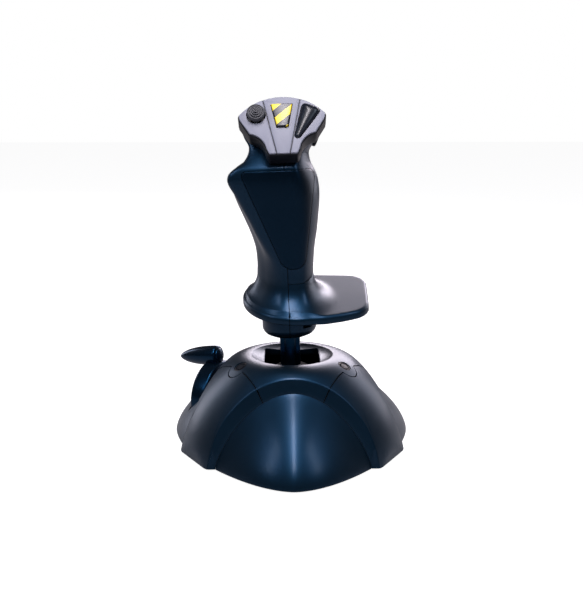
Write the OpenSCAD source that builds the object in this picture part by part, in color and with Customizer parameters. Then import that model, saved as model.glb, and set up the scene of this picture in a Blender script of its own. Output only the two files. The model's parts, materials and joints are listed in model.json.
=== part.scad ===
// Desktop flight joystick: three-lobed base, two-axis gimbal, shaped grip with hand rest,
// head with hat switch and thumb buttons, trigger, and a throttle wheel on the left rear lobe.
// Millimetres. The origin lies on the stick's axis in the plane of the base plate's underside;
// +X is the user's right, +Y points away from the user and +Z is up.

/* [Base] */
// Radius of the base at the foot of each leg
base_r = 78.4; // [77:0.2:80]
// Height of the dish rim above the underside
rim_z = 61.3; // [60.5:0.1:62]
// Distance of a lobe's nose from the stick axis at the ground
lobe_r = 91.3; // [89:0.1:93]
// Half width of a lobe's arch at the ground
arch_w = 50.3; // [49:0.1:51]
// Height of the top of a lobe's arch
arch_h = 47.4; // [46.5:0.1:48]
// Wall thickness of the base mouldings
wall = 2.4; // [2.2:0.1:2.6]
// Half width of the square opening for the stick
opening = 18.6; // [18:0.1:19]

/* [Stick] */
// Height of the gimbal centre above the underside
pivot_z = 32; // [31:0.5:33]
// Sideways lean of the stick at rest, in degrees, towards the user's left
lean = 2; // [1:0.5:3]
// Radius of the stick shaft
shaft_r = 6.9; // [6.5:0.1:7]
// Wall thickness of the grip mouldings
skin = 2.6; // [2.4:0.1:2.8]

/* [Head] */
// Upward tilt of the button panel, in degrees
head_tilt = 33; // [31:1:35]
// Depth of the head housing behind the panel
head_d = 13; // [12:0.5:14]
// Diameter of the hat switch cap
hat_d = 11.4; // [11:0.2:12]

/* [Throttle] */
// Radius of the throttle wheel at its outer face
wheel_r = 25.5; // [24.5:0.5:26]
// Height of the throttle axis
wheel_z = 22; // [21.5:0.5:22.5]
// Length of the throttle knob
knob_l = 35; // [33:0.5:36]

/* [Hidden] */

// Gaps and common sizes
gap = 0.3;             // clearance between pieces on different bodies
fit = 0.05;            // radial clearance of a running fit
big = 200;             // a length longer than the part
round_fn = 64;         // smoothness of round features

// Base: a dome of revolution made of a flank arc and a shoulder arc
flank_r = 102;
flank_c = [-21.3, -22.5];
shoulder_r = 23.4;
shoulder_c = [29, rim_z - shoulder_r];
dish_r = 27.7;
dish_drop = 2.6;
lobe_angles = [0, 120, 240];       // turns about Z of the front, right rear and left rear lobes
leg_angles = [60, 180, 300];       // turns of the right, rear and left legs
cut_d = 55;                        // distance of the arch plane from the axis at the ground
cut_slope = 0.21;                  // how far the arch plane leans in per millimetre of height
cut_tilt = atan(cut_slope);
hub_seam_d = 42.5;                 // distance of the seam across each leg
plug_d = 40;                       // distance of each screw plug from the axis
plug_r = 4.6;
lintel_half = 18.4;                // half width of the lintel at the top of each arch
plate_t = 3;
leg_face = 76.4;                   // distance of the flat end face of each leg

// Colours
navy = [0.11, 0.15, 0.21];
dark = [0.06, 0.07, 0.09];
lilac = [0.56, 0.57, 0.66];
steel = [0.7, 0.71, 0.74];
gloss = [0.08, 0.12, 0.18];

function arc(c, r, a0, a1, n) = [for (i = [0:n]) let (a = a0 + (a1 - a0) * i / n) c + r * [cos(a), sin(a)]];
function flip_x(p) = [for (i = [len(p) - 1:-1:0]) [-p[i][0], p[i][1]]];
function lerp(a, b, t) = a + (b - a) * t;

// Catmull-Rom value between b and c at t
function spline(a, b, c, d, t) =
    0.5 * (2 * b + (c - a) * t + (2 * a - 5 * b + 4 * c - d) * t * t + (3 * b - a - 3 * c + d) * t * t * t);

// Closed curve through points p with k steps between neighbours
function closed_curve(p, k) = let (n = len(p))
    [for (i = [0:n - 1], j = [0:k - 1])
        spline(p[(i + n - 1) % n], p[i], p[(i + 1) % n], p[(i + 2) % n], j / k)];

// Middle of a ring of points
function middle(r) = [for (k = [0:2]) let (v = [for (q = r) q[k]]) (max(v) + min(v)) / 2];

// Closed solid through a stack of rings with the same number of points, run anticlockwise and upwards.
// Its ends are fans, or strips where each ring is a curved band.
module loft(rings, band = false) {
    n = len(rings[0]);
    m = len(rings);
    low = function (j) band ? [[j, j + 1, n - 1 - j], [j + 1, n - 2 - j, n - 1 - j]] : [[m * n, j,
        (j + 1) % n]];
    last = band ? n / 2 - 2 : n - 1;
    polyhedron(
        points = concat([for (r = rings, q = r) q], band ? [] : [middle(rings[0]), middle(rings[m - 1])]),
        faces = concat(
            [for (j = [0:last], f = low(j)) f],
            [for (i = [0:m - 2], j = [0:n - 1], h = [0, 1]) let (k = (j + 1) % n, a = i * n, b = a + n)
                h == 0 ? [a + j, b + j, b + k] : [a + j, b + k, a + k]],
            [for (j = [0:last], f = low(j)) [for (v = [f[2], f[1], f[0]])
                v == m * n ? v + 1 : v + (m - 1) * n]]),
        convexity = 6);
}

// ---- Base mouldings -------------------------------------------------------------------------

// Half profile of the base's dome, shrunk by inset, from the axis outwards and down to z = 0
function dome_profile(inset) = let (
        fr = flank_r - inset, sr = shoulder_r - inset,
        a0 = asin(-flank_c[1] / fr),
        a1 = atan2(shoulder_c[1] - flank_c[1], shoulder_c[0] - flank_c[0]))
    concat(arc(flank_c, fr, a0, a1, 14), arc(shoulder_c, sr, a1, 90, 6), [[0, rim_z - inset], [0, 0]]);

module dome_of_revolution(inset) {
    rotate_extrude($fn = 96) polygon(dome_profile(inset));
}

// Everything on the axis side of a lobe's arch plane, moved in by inset
module inside_arch_plane(inset) {
    translate([0, -(cut_d - inset), 0]) rotate([-cut_tilt, 0, 0])
        translate([-big / 2, 0, -big / 2]) cube([big, big, big]);
}

// Outline of a lobe's arch opening: x across, y up
function arch_outline(w, h, n) =
    [for (i = [-n:n]) let (t = sin(90 * i / n)) [w * t, h * pow(max(0, 1 - pow(abs(t), 1.9)), 0.75)]];

module arch_opening(grow) {
    translate([0, 0, -0.01]) rotate([90, 0, 0])
        linear_extrude(big / 2) polygon(arch_outline(arch_w + grow, arch_h + grow, 14));
}

// The tripod body shared by the hub cap and the legs, before it is divided
module tripod() {
    difference() {
        intersection() {
            dome_of_revolution(0);
            for_three_planes(0);
        }
        intersection() {
            dome_of_revolution(wall);
            for_three_planes(wall);
            translate([0, 0, -1]) cylinder(h = big, r = (leg_face - wall) / cos(30), $fn = 6);
        }
        for (a = lobe_angles) rotate(a) arch_opening(0.2);
    }
}

module for_three_planes(inset) {
    intersection() {
        inside_arch_plane(inset);
        rotate(120) inside_arch_plane(inset);
        rotate(240) inside_arch_plane(inset);
    }
}

// Volume of a leg: beyond the seam across it and beside the lintels; g keeps the pieces apart
module leg_volume(a, g) {
    rotate(a) difference() {
        translate([-big / 2, -big, -1]) cube([big, big - hub_seam_d - g, big]);
        for (s = [-60, 60]) rotate(s) translate([-lintel_half - g, -big, -1])
            cube([2 * (lintel_half + g), big, big]);
        translate([0, -plug_d, 0]) cylinder(h = big, r = plug_r + 3.4 + g, $fn = round_fn);
    }
}

// Place of a base screw beside a leg's middle line
boss_at = [13, -62];

module leg(a) {
    color(navy) difference() {
        union() {
            intersection() {
                tripod();
                leg_volume(a, 0.1);
                rotate(a) translate([-big / 2, -leg_face, -1]) cube([big, big, big]);
            }
            intersection() {
                for (x = [-1, 1]) rotate(a) translate([x * boss_at[0], boss_at[1], plate_t + 0.1])
                    cylinder(h = 40, r = 3.2, $fn = 32);
                dome_of_revolution(wall / 2);
            }
        }
        for (x = [-1, 1]) rotate(a) translate([x * boss_at[0], boss_at[1], 0]) cylinder(h = 14,
            r = 1.45, $fn = 24);
    }
}

// Frame of the cable gland's bore in the rear leg: y is the distance from the stick axis
gland_y = leg_face;
gland_z = 12;
module rear_axis(y, l, r) { translate([0, y, gland_z]) rotate([-90, 0, 0]) cylinder(h = l, r = r,
    $fn = round_fn); }

module leg_left() { leg(300); }
module leg_right() { leg(60); }

// The rear leg has a boss that holds the cable gland
module leg_rear() {
    color(navy) difference() {
        union() {
            leg(180);
            rear_axis(gland_y - 8, 8, 8);
        }
        rear_axis(gland_y - 10, 20, 5.1);
    }
}

// Frame of a screw plug: Z along the outward normal of the dome
plug_tilt = asin((plug_d - shoulder_c[0]) / shoulder_r);
module at_plug(a) {
    rotate(a) translate([0, -plug_d, shoulder_c[1] + shoulder_r * cos(plug_tilt)]) rotate([plug_tilt, 0, 0])
        children();
}

module hub_cap() {
    color(navy) difference() {
        union() {
            difference() {
                tripod();
                for (a = leg_angles) leg_volume(a, 0);
            }
            translate([0, 0, rim_z - dish_drop - 3]) cylinder(h = 3, r = dish_r + 8, $fn = 96);
            for (a = leg_angles) at_plug(a) {
                translate([0, 0, -6]) cylinder(h = 5, r = plug_r + 1.6, $fn = round_fn);
                translate([0, 0, -16]) cylinder(h = 11, r = 3.2, $fn = 32);
            }
        }
        // Shallow dish, the square opening, and the plug recesses with their screw holes
        translate([0, 0, rim_z - dish_drop]) cylinder(h = 10, r1 = dish_r - 4, r2 = dish_r + 12, $fn = 96);
        opening_prism();
        for (a = leg_angles) at_plug(a) {
            translate([0, 0, -3]) cylinder(h = 10, r = plug_r, $fn = round_fn);
            translate([0, 0, -17]) cylinder(h = 15, r = 1.3, $fn = 24);
        }
    }
}

module opening_prism() {
    r = 3.5;
    translate([0, 0, rim_z - 20]) {
        for (s = [0, 1]) rotate(90 * s) translate([-opening, -opening + r, 0])
            cube([2 * opening, 2 * (opening - r), 40]);
        for (x = [-1, 1], y = [-1, 1]) translate([x * (opening - r), y * (opening - r), 0])
            cylinder(h = 40, r = r, $fn = round_fn);
    }
}

module screw_plugs() {
    color(dark) for (a = leg_angles) at_plug(a) {
        translate([0, 0, -3]) cylinder(h = 1.4, r = plug_r - 0.1, $fn = round_fn);
        translate([0, 0, -3]) cylinder(h = 2.6, r = 2.9, $fn = round_fn);
    }
}

module hub_screws() {
    color(steel) for (a = leg_angles) at_plug(a) {
        translate([0, 0, -17]) cylinder(h = 12, r = 1.25, $fn = 24);
        translate([0, 0, -18.6]) cylinder(h = 1.6, r = 2.8, $fn = 32);
    }
}

module base_outline(inset) {
    difference() {
        circle(r = base_r - inset - 0.9, $fn = 96);
        for (a = leg_angles) rotate(a) translate([-big / 2, -leg_face + inset - big]) square([big, big]);
        for (a = lobe_angles) rotate(a) translate([-big / 2, -cut_d + inset + 0.9 - big]) square([big,
            big]);
    }
    for (a = lobe_angles) rotate(a) intersection() {
        polygon([for (p = lobe_ring(plate_t, inset, 6)) [p[0], p[1]]]);
        translate([-arch_w + 4, -big]) square([2 * arch_w - 8, big]);
    }
}

module base_plate() {
    color(dark) difference() {
        linear_extrude(plate_t) base_outline(wall + 0.4);
        for (a = leg_angles) rotate(a) {
            translate([0, -66, -1]) cylinder(h = 2, r = 8.1, $fn = round_fn);
            for (x = [-1, 1]) translate([x * boss_at[0], boss_at[1], -1]) {
                cylinder(h = 12, r = 1.6, $fn = 24);
                cylinder(h = 2.6, r = 3, $fn = 32);
            }
        }
    }
}

module rubber_feet() {
    color([0.12, 0.12, 0.12]) for (a = leg_angles) rotate(a) translate([0, -66, -1.2])
        cylinder(h = 2.2, r = 8, $fn = round_fn);
}

module base_screws() {
    color(steel) for (a = leg_angles, x = [-1, 1]) rotate(a) translate([x * boss_at[0], boss_at[1], 0]) {
        translate([0, 0, 0.2]) cylinder(h = 1.4, r = 2.7, $fn = 32);
        translate([0, 0, 1.6]) cylinder(h = 11, r = 1.4, $fn = 24);
    }
}

module main_pcb() {
    color([0.05, 0.3, 0.15]) translate([-16, 31, plate_t + 2.5]) cube([32, 24, 1.6]);
    color(dark) {
        translate([-6, 37, plate_t + 4.1]) cube([12, 12, 2]);
        for (x = [-13, 13], y = [34, 52]) translate([x, y, plate_t]) cylinder(h = 2.5, r = 2, $fn = 24);
    }
}

module cable_gland() {
    color(dark) difference() {
        union() {
            rear_axis(gland_y, 2, 6.6);
            rear_axis(gland_y - 6, 6, 5);
        }
        rear_axis(gland_y - 7, 12, 2.6);
    }
}

// ---- Lobes ----------------------------------------------------------------------------------

// Ring of a lobe's dome at height z: a rounded V from one foot of the arch to the other
function lobe_half(z, s) = (arch_w - s) * pow(max(0, 1 - pow(z / (arch_h - s), 4 / 3)), 1 / 1.9);
function lobe_nose(z, s) = let (q = z / (arch_h - s), back = cut_d - cut_slope * z)
    lerp(back, lobe_r - s, pow(max(0, 1 - pow(q, 1.4)), 1.1));
function lobe_ring(z, s, depth) = let (w = lobe_half(z, s), f = lobe_nose(z, s), b = cut_d - cut_slope * z)
    concat([for (i = [-9:9]) let (t = sin(10 * i)) [w * t, -lerp(b, f, 1 - pow(abs(t), 1.7)), z]],
        [for (i = [3:-2:-3]) [w * i / 3, depth - b, z]]);

module lobe_solid(s, z0, depth) {
    steps = 9;
    loft([for (i = [0:steps]) lobe_ring(lerp(z0, arch_h - s - 0.5, sin(90 * i / steps)), s, depth)]);
}

module lobe_shell() {
    difference() {
        lobe_solid(0.25, 0, wall);
        translate([0, 0, -0.01]) lobe_solid(wall, 0, wall + 1);
    }
}

module dome_front() { color(navy) lobe_shell(); }
module dome_right() { color(navy) rotate(120) lobe_shell(); }

module dome_left() {
    color(navy) difference() {
        rotate(240) lobe_shell();
        throttle_space(1);
    }
}

// ---- Gimbal ---------------------------------------------------------------------------------

ring_in = 13;          // half width of the ring's inside
ring_out = 17;         // half width of the ring's outside
ring_h = 9;
pin_r = 2;
frame_in = 19;         // distance of the frame's posts from the axis
frame_t = 5;

module at_pivot() { translate([0, 0, pivot_z]) children(); }
module leaned() { at_pivot() rotate([0, -lean, 0]) translate([0, 0, -pivot_z]) children(); }

module gimbal_frame() {
    color(dark) difference() {
        union() {
            translate([-17, -frame_in - frame_t, plate_t]) cube([34, 2 * (frame_in + frame_t), 3]);
            for (s = [-1, 1]) translate([-7, s > 0 ? frame_in : -frame_in - frame_t, plate_t + 3])
                cube([14, frame_t, pivot_z - plate_t - 3]);
            at_pivot() for (s = [-1, 1]) translate([0, s * (frame_in + frame_t / 2), 0]) rotate([90, 0, 0])
                cylinder(h = frame_t, r = 7, center = true, $fn = round_fn);
        }
        at_pivot() rotate([90, 0, 0]) cylinder(h = big, r = pin_r + fit, center = true, $fn = round_fn);
    }
}

module gimbal_ring() {
    color(steel) leaned() at_pivot() difference() {
        translate([-ring_out, -ring_out, -ring_h / 2]) cube([2 * ring_out, 2 * ring_out, ring_h]);
        translate([-ring_in, -ring_in, -ring_h]) cube([2 * ring_in, 2 * ring_in, 2 * ring_h]);
        rotate([90, 0, 0]) cylinder(h = big, r = pin_r, center = true, $fn = round_fn);
        rotate([0, 90, 0]) cylinder(h = big, r = pin_r, center = true, $fn = round_fn);
    }
}

module roll_pins() {
    color(steel) leaned() at_pivot() for (s = [-1, 1]) translate([0,
        s * (ring_in + frame_in + frame_t + 1) / 2, 0])
        rotate([90, 0, 0]) cylinder(h = frame_in + frame_t + 1 - ring_in, r = pin_r, center = true,
            $fn = round_fn);
}

module pitch_pins() {
    color(steel) leaned() at_pivot() for (s = [-1, 1]) translate([s * (6 + ring_out + 1) / 2, 0, 0])
        rotate([0, 90, 0]) cylinder(h = ring_out + 1 - 6, r = pin_r, center = true, $fn = round_fn);
}

module pot(turn) {
    color([0.1, 0.25, 0.5]) rotate(turn) rotate([90, 0, 0]) {
        cylinder(h = 7, r = 8, $fn = round_fn);
        translate([-5, -12, 1]) cube([10, 8, 1.2]);
    }
}

module roll_pot() { at_pivot() translate([0, -frame_in - frame_t - 1.2, 0]) pot(0); }
module pitch_pot() { leaned() at_pivot() translate([ring_out + 1.2, 0, 0]) pot(90); }

// Coil spring of wire radius w about Z, from z = 0 to h
module coil(r, w, h, turns) {
    per_turn = 10;
    steps = turns * per_turn;
    loft([for (i = [0:steps]) let (a = 360 * i / per_turn, z = h * i / steps)
        [for (k = [0:5]) let (b = 60 * k) [(r + w * cos(b)) * cos(a), (r + w * cos(b)) * sin(a),
            z - w * sin(b)]]]);
}

module roll_spring() {
    color(steel) at_pivot() translate([0, frame_in + frame_t + 1, 0]) rotate([-90, 0, 0]) coil(4.6,
        0.6, 6, 4);
}

module pitch_spring() {
    color(steel) leaned() at_pivot() translate([-ring_out - 1, 0, 0]) rotate([0, -90, 0]) coil(4.6,
        0.6, 6, 4);
}

module stick_shaft() {
    color(gloss) leaned() difference() {
        union() {
            at_pivot() translate([0, 0, -7]) cylinder(h = 16, r = 10, $fn = round_fn);
            at_pivot() intersection() {
                cylinder(h = 78, r = shaft_r, $fn = round_fn);
                union() {
                    cylinder(h = 78, r = shaft_r - 2.2, $fn = round_fn);
                    for (a = [0, 90]) rotate(a) translate([-2.6, -10, 0]) cube([5.2, 20, 78]);
                }
            }
        }
        at_pivot() rotate([0, 90, 0]) cylinder(h = big, r = pin_r + fit, center = true, $fn = round_fn);
        at_pivot() translate([0, 0, 9.5]) cylinder(h = 80, r = 2.6, $fn = 32);
    }
}

module dust_shield() {
    shield_r = 23.6;
    color([0.02, 0.02, 0.025]) leaned() at_pivot() difference() {
        intersection() {
            sphere(r = shield_r, $fn = 96);
            translate([0, 0, shield_r * 0.66]) cylinder(h = big, r = big, $fn = round_fn);
        }
        sphere(r = shield_r - 1.4, $fn = 96);
        cylinder(h = big, r = shaft_r + 0.02, $fn = round_fn);
    }
}

// ---- Throttle -------------------------------------------------------------------------------

wheel_in = 56;         // distance of the wheel's inner face from the stick axis
wheel_out = 68;        // distance of its outer face
axle_r = 2.5;
knob_r = 6.9;
knob_tilt = 9;
knob_from = 58;        // distance of the knob's inner end from the stick axis
knob_z = 52.2;         // height of the knob's centre line at its inner end

// Local frame of the throttle: Z along the lobe away from the stick, origin on the axis's height
module at_throttle() { rotate(240) translate([0, 0, wheel_z]) rotate([90, 0, 0]) children(); }

// Space that the wheel turns in
module throttle_space(g) {
    at_throttle() translate([0, 0, wheel_in - g]) cylinder(h = wheel_out - wheel_in + 2 * g,
        r = wheel_r + g,
        $fn = round_fn);
}

wheel_low = 6;         // how far the wheel reaches below its axis
stem_w = 6;
stem_t = 7;

module throttle_wheel() {
    color(gloss) difference() {
        at_throttle() rotate_extrude($fn = 96) polygon(concat([[axle_r + 2, wheel_in], [wheel_r - 3,
            wheel_in]],
            arc([wheel_r - 2.6, wheel_in + 1.6], 1.6, -70, 0, 3),
            arc([wheel_r - 2, wheel_out - 2], 2, 0, 90, 5),
            [[wheel_r - 5, wheel_out], [wheel_r - 6, wheel_out - 4], [8, wheel_out - 4], [axle_r + 2,
                wheel_out]]));
        // The wheel is a sector: its lower side is left off, and the lever and the knob are let into it
        at_throttle() translate([-big / 2, -big - wheel_low, 0]) cube([big, big, big]);
        throttle_stem();
        at_knob() translate([0, 0, -2]) cylinder(h = knob_l, r = knob_r + 0.1, $fn = round_fn);
    }
}

module throttle_axle() {
    color(steel) at_throttle() translate([0, 0, wheel_in - 9.5])
        cylinder(h = wheel_out - wheel_in + 11.5, r = axle_r, $fn = round_fn);
}

// Bar from the hub up into the middle of the knob
module throttle_stem() {
    at_throttle() translate([-stem_w / 2, 0, wheel_in + 3.8]) cube([stem_w, knob_z - wheel_z, stem_t]);
}

module throttle_lever() {
    color(gloss) difference() {
        union() {
            at_throttle() translate([0, 0, wheel_in]) cylinder(h = wheel_out - wheel_in, r = axle_r + 2,
                $fn = round_fn);
            throttle_stem();
        }
        at_throttle() cylinder(h = big, r = axle_r, $fn = round_fn);
    }
}

module at_knob() {
    at_throttle() translate([0, knob_z - wheel_z, knob_from]) rotate([knob_tilt, 0, 0]) children();
}

// Bullet shape along Z: blunt inner end, long tapering outer end
function knob_profile() = concat([[0, 1.3]], arc([knob_r - 2, 2.6], 2, -40, 0, 3),
    [for (i = [0:14]) let (t = i / 14) [(knob_r) * pow(1 - pow(t, 2.2), 0.6), 7 + (knob_l - 7) * t]]);

module throttle_knob() {
    color(gloss) difference() {
        at_knob() rotate_extrude($fn = round_fn) polygon(knob_profile());
        throttle_stem();
    }
}

module knob_cap() {
    color(gloss) at_knob() rotate_extrude($fn = round_fn)
        polygon([[0, -0.6], [3.4, -0.3], [knob_r - 2, 0.75], [knob_r - 2.6, 1.1], [0, 1.15]]);
}

module throttle_bracket() {
    color(dark) rotate(240) difference() {
        union() {
            translate([-9, -wheel_in + 1.2, plate_t]) cube([18, 4, wheel_z - plate_t]);
            at_height(-wheel_in + 1.2, 4, 9);
            translate([-6, -wheel_out - 2, plate_t]) cube([12, 1.4, wheel_z - plate_t]);
            translate([-6, -wheel_out - 2, plate_t]) cube([12, wheel_out - wheel_in + 6, 1.4]);
            at_height(-wheel_out - 2, 1.4, 3.6);
        }
        translate([0, 0, wheel_z]) rotate([90, 0, 0]) cylinder(h = big, r = axle_r + fit, $fn = round_fn);
    }
}

module at_height(y, depth, r) {
    translate([0, y + depth, wheel_z]) rotate([90, 0, 0]) cylinder(h = depth, r = r, $fn = round_fn);
}

module throttle_pot() {
    color([0.1, 0.25, 0.5]) rotate(240) difference() {
        at_height(-wheel_in + 5.4, 6, 8);
        translate([0, 0, wheel_z]) rotate([90, 0, 0]) cylinder(h = big, r = axle_r + fit, $fn = round_fn);
    }
}

// ---- Grip, drawn in the stick's own frame (before the lean) ----------------------------------

// Stations of the grip: height, left, right, crease, front and back
GRIP = [
    [110, -21.2, 17.6, -7.0, -19.5, 21],
    [119, -20.1, 17.3, -7.2, -19, 21],
    [128, -20.0, 17.9, -8.8, -19.5, 21.5],
    [137, -20.9, 18.9, -12.9, -20.5, 22],
    [146, -23.5, 20.5, -17.1, -21.5, 23],
    [155, -27.0, 21.6, -20.8, -22.5, 24],
    [164, -30.6, 22.5, -25.0, -23.5, 25],
    [173, -33.5, 22.8, -29.2, -24.6, 25.5],
    [181, -34.8, 21.9, -33.4, -25.3, 25.5],
    [186, -33.6, 20.2, -33.2, -25.3, 25],
    [189.5, -30.2, 18.4, -29.9, -25, 24.5],
    [193, -24.8, 17.2, -24.4, -24.3, 24],
    [198, -21.3, 16.9, -21.2, -22.6, 23],
    [203, -20.6, 20.0, -20.4, -19, 22],
    [208, -23.0, 23.6, -22.8, -15.6, 20.5],
    [214, -24.6, 25.0, -24.4, -12, 17.5],
    [220, -22.5, 23.0, -22.2, -8.5, 12.5],
    [225, -16.0, 16.5, -15.8, -5, 6.5],
    [227, -9.0, 9.5, -8.8, -2.5, 2]];

// Grip values at height z, smooth through the stations
function grip_at(z) = let (n = len(GRIP) - 1, i = max([for (k = [0:n - 1]) GRIP[k][0] <= z ? k : 0]),
        t = (z - GRIP[i][0]) / (GRIP[i + 1][0] - GRIP[i][0]))
    spline(GRIP[max(i - 1, 0)], GRIP[i], GRIP[i + 1], GRIP[min(i + 2, n)], t);

// Depth of the head housing's back plane at height z
head_y = -24;
head_z = 216;
function head_back_y(z) = head_y + (head_d + (z - head_z) * sin(head_tilt)) / cos(head_tilt);

// Guide points of the grip's outline at height z, shrunk by s: front seam, right, rear seam, left, crease.
// The front stays behind the head housing.
function grip_guide(z, s) = let (g = grip_at(z), l = g[1] + s, r = g[2] - s, c = g[3] + s,
        f = max(g[4], head_back_y(z) + 0.4) + s, b = g[5] - s, w = r - l, d = b - f)
    [[0, f - 0.008 * d], [r - 0.16 * w, f + 0.065 * d], [r, f + 0.46 * d], [r - 0.1 * w, f + 0.85 * d],
        [0, b],
        [l + 0.12 * w, f + 0.85 * d], [l, f + 0.54 * d], [lerp(l, c, 0.45), f + 0.25 * d], [c,
            f + 0.055 * d]];
function grip_ring(z, s, k) = closed_curve(grip_guide(z, s), k);

// One side of a ring: 1 for the right of the seam, -1 for the left
function half_of(ring, side, k) = side > 0 ? [for (i = [0:4 * k]) ring[i]] : [for (i = [4 * k:9 * k])
    ring[i % (9 * k)]];
function at_level(ring, z) = [for (p = ring) [p[0], p[1], z]];
function column_rings(side, levels, k) = [for (z = levels) at_level(half_of(grip_ring(z, 0, k), side,
    k), z)];

module at_head() { translate([0, head_y, head_z]) rotate([90 - head_tilt, 0, 0]) children(); }

// Palm insert: its edges at height z, with rounded corners, grown by g
insert_z = [123.6, 188.2];
insert_t = 1.3;
function corner(d, r) = d < r ? r - sqrt(max(0, r * r - pow(r - d, 2))) : 0;
function insert_edge(z, g) = let (top = insert_z[1] + g - z, low = z - insert_z[0] + g, h = z - insert_z[0])
    [-2.4 - g - 0.405 * h + corner(top, 5) + corner(low, 5.5), 11.6 + g + 0.135 * h - corner(top, 6.5)
        - corner(low, 6.5)];
function front_y(z, x) = let (k = 4, r = grip_ring(z, 0, k), n = 9 * k)
    lookup(x, [for (i = [0:3 * k]) let (p = r[(8 * k + i) % n]) [p[0], p[1]]]);

// Patch that follows the grip's front between the insert's edges, from y_out in front of it to y_in inside
module insert_patch(g, y_out, y_in) {
    nu = 8;
    nv = 12;
    loft([for (v = [0:nv]) let (z = lerp(insert_z[0] - g, insert_z[1] + g, (1 - cos(180 * v / nv)) / 2),
            zz = v == 0 ? z + 0.05 : v == nv ? z - 0.05 : z, e = insert_edge(zz, g),
            xs = [for (u = [0:nu]) lerp(e[0], e[1], u / nu)], ys = [for (x = xs) front_y(z, x)])
        concat([for (u = [0:nu]) [xs[u], ys[u] - y_out, z]], [for (u = [nu:-1:0]) [xs[u], ys[u] + y_in,
            z]])],
        band = true);
}

// Hand rest: edge outline in plan and the tilted plane of its top
rest_c = [4.7, 5];
rest_l = 35.5;
rest_slope = 0.215;
rest_z = 100.4;
rest_fall = 0.035;
rest_rim = 5.6;
rest_fillet = [17, 17.5];      // width and height of the fillet between grip and hand rest
collar_r = 18.2;
function rest_plane(p) = rest_z + rest_slope * p[1] - rest_fall * p[0];
function rest_edge() = concat(
    arc(rest_c, rest_l, 100, 285, 18),
    [[24, -28.4], [36, -24.6], [45, -20.4]],
    arc([48.6, -13.4], 4.6, -60, 0, 3), [[54.2, 8]], arc([48.4, 31], 6.6, 4, 90, 3), [[30, 38.6], [14,
        39.6]]);

// Distance from the axis to outline poly towards angle a
function cross2(a, b) = a[0] * b[1] - a[1] * b[0];
function ray_r(poly, a) = let (n = len(poly), d = [cos(a), sin(a)])
    max([for (i = [0:n - 1]) let (p = poly[i], q = poly[(i + 1) % n], e = q - p, det = cross2(d, e),
            t = det == 0 ? -1 : cross2(p, e) / det, u = det == 0 ? -1 : cross2(p, d) / det)
        (t > 0 && u >= -1e-6 && u <= 1 + 1e-6) ? t : 0]);

// Rings of the lower part of one side, from the collar's foot up to the seam under the grip
function foot_rings(side, k) = let (
        wall_pts = half_of(grip_ring(118, 0, k), side, k),
        edge = [for (p = wall_pts) let (a = atan2(p[1], p[0])) ray_r(rest_edge(), a) * p / norm(p)],
        top = function (u) [for (i = [0:len(edge) - 1]) let (w = wall_pts[i], e = edge[i], p = lerp(w,
            e, u),
                q = min(1, norm(p - w) / rest_fillet[0]))
            [p[0], p[1], rest_plane(p) + rest_fillet[1] * (1 - sqrt(1 - pow(1 - q, 2)))]],
        under = function (u, drop) [for (e = edge) let (p = lerp(e * collar_r / norm(e), e, u))
            [p[0], p[1], rest_plane(p) - drop]],
        round_ring = function (r, z) [for (e = edge) [e[0] * r / norm(e), e[1] * r / norm(e), z]])
    [round_ring(12.4, 75.4), round_ring(collar_r - 1.6, 78.4), round_ring(collar_r, 80.8),
        under(0, rest_rim + 1), under(1, rest_rim), under(1, 1.2),
        for (u = [0.94, 0.78, 0.6, 0.44, 0.3, 0.18, 0.09, 0.03, 0]) top(u)];

column_levels = [124, 129, 134, 139, 144, 149, 154, 159, 164, 169, 174, 178, 181, 184, 187, 189.5, 192,
    195, 199,
    203, 208, 214, 219, 223, 225.5, 227];
hollow_levels = [124.5, 134.5, 144.5, 154.5, 164.5, 172, 180, 186, 190, 194, 200.5, 206.5, 211, 216.5,
    221.5];

module column_hollow(side) {
    k = 2;
    translate([-side, 0, 0]) loft([for (z = hollow_levels) at_level(half_of(grip_ring(z, skin, k),
        side, k), z)]);
}

module grip_cuts(side) {
    column_hollow(side);
    insert_patch(0.12, 3, insert_t + 0.1);
    // Slot for the trigger, cavity above the shaft and the shaft's socket
    translate([-6, 8, 174]) cube([12, 40, 34]);
    translate([0, 0, 106]) cylinder(h = 19, r = 12, $fn = round_fn);
    shaft_socket();
    if (side > 0) side_button_space();
}

module shaft_socket() { translate([0, 0, 60]) cylinder(h = 50, r = shaft_r, $fn = round_fn); }

module grip_left_shell() {
    color(navy) leaned() difference() {
        loft(concat(foot_rings(-1, 4), column_rings(-1, column_levels, 4)));
        grip_cuts(-1);
    }
}

module grip_right_shell() {
    k = 4;
    seam = foot_rings(1, k);
    color(navy) leaned() difference() {
        loft(concat([seam[len(seam) - 1]], column_rings(1, column_levels, k)));
        grip_cuts(1);
    }
}

module hand_rest() {
    color(navy) leaned() difference() {
        loft(foot_rings(1, 4));
        translate([0, 0, 106]) cylinder(h = 19, r = 12, $fn = round_fn);
        shaft_socket();
        // Latch window in the collar
        translate([9, -collar_r - 4, 82.6]) cube([8, 12, 4]);
    }
}

module palm_insert() { color(navy) leaned() insert_patch(0, 0, insert_t); }

// Long screws that draw the two grip shells together: y, z, and the ends in x
grip_screw_places = [[7, 128, -14.4, 12.6], [7, 158, -20, 15.6], [-6, 197, -14, 12]];
module grip_screws() {
    color(steel) leaned() for (p = grip_screw_places) translate([p[2], p[0], p[1]]) rotate([0, 90, 0]) {
        cylinder(h = p[3] - p[2], r = 1.5, $fn = 24);
        cylinder(h = 2, r = 2.8, $fn = 32);
    }
}

// ---- Head, drawn in the panel's frame: X across, Y up the panel, Z out of it -----------------

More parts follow.
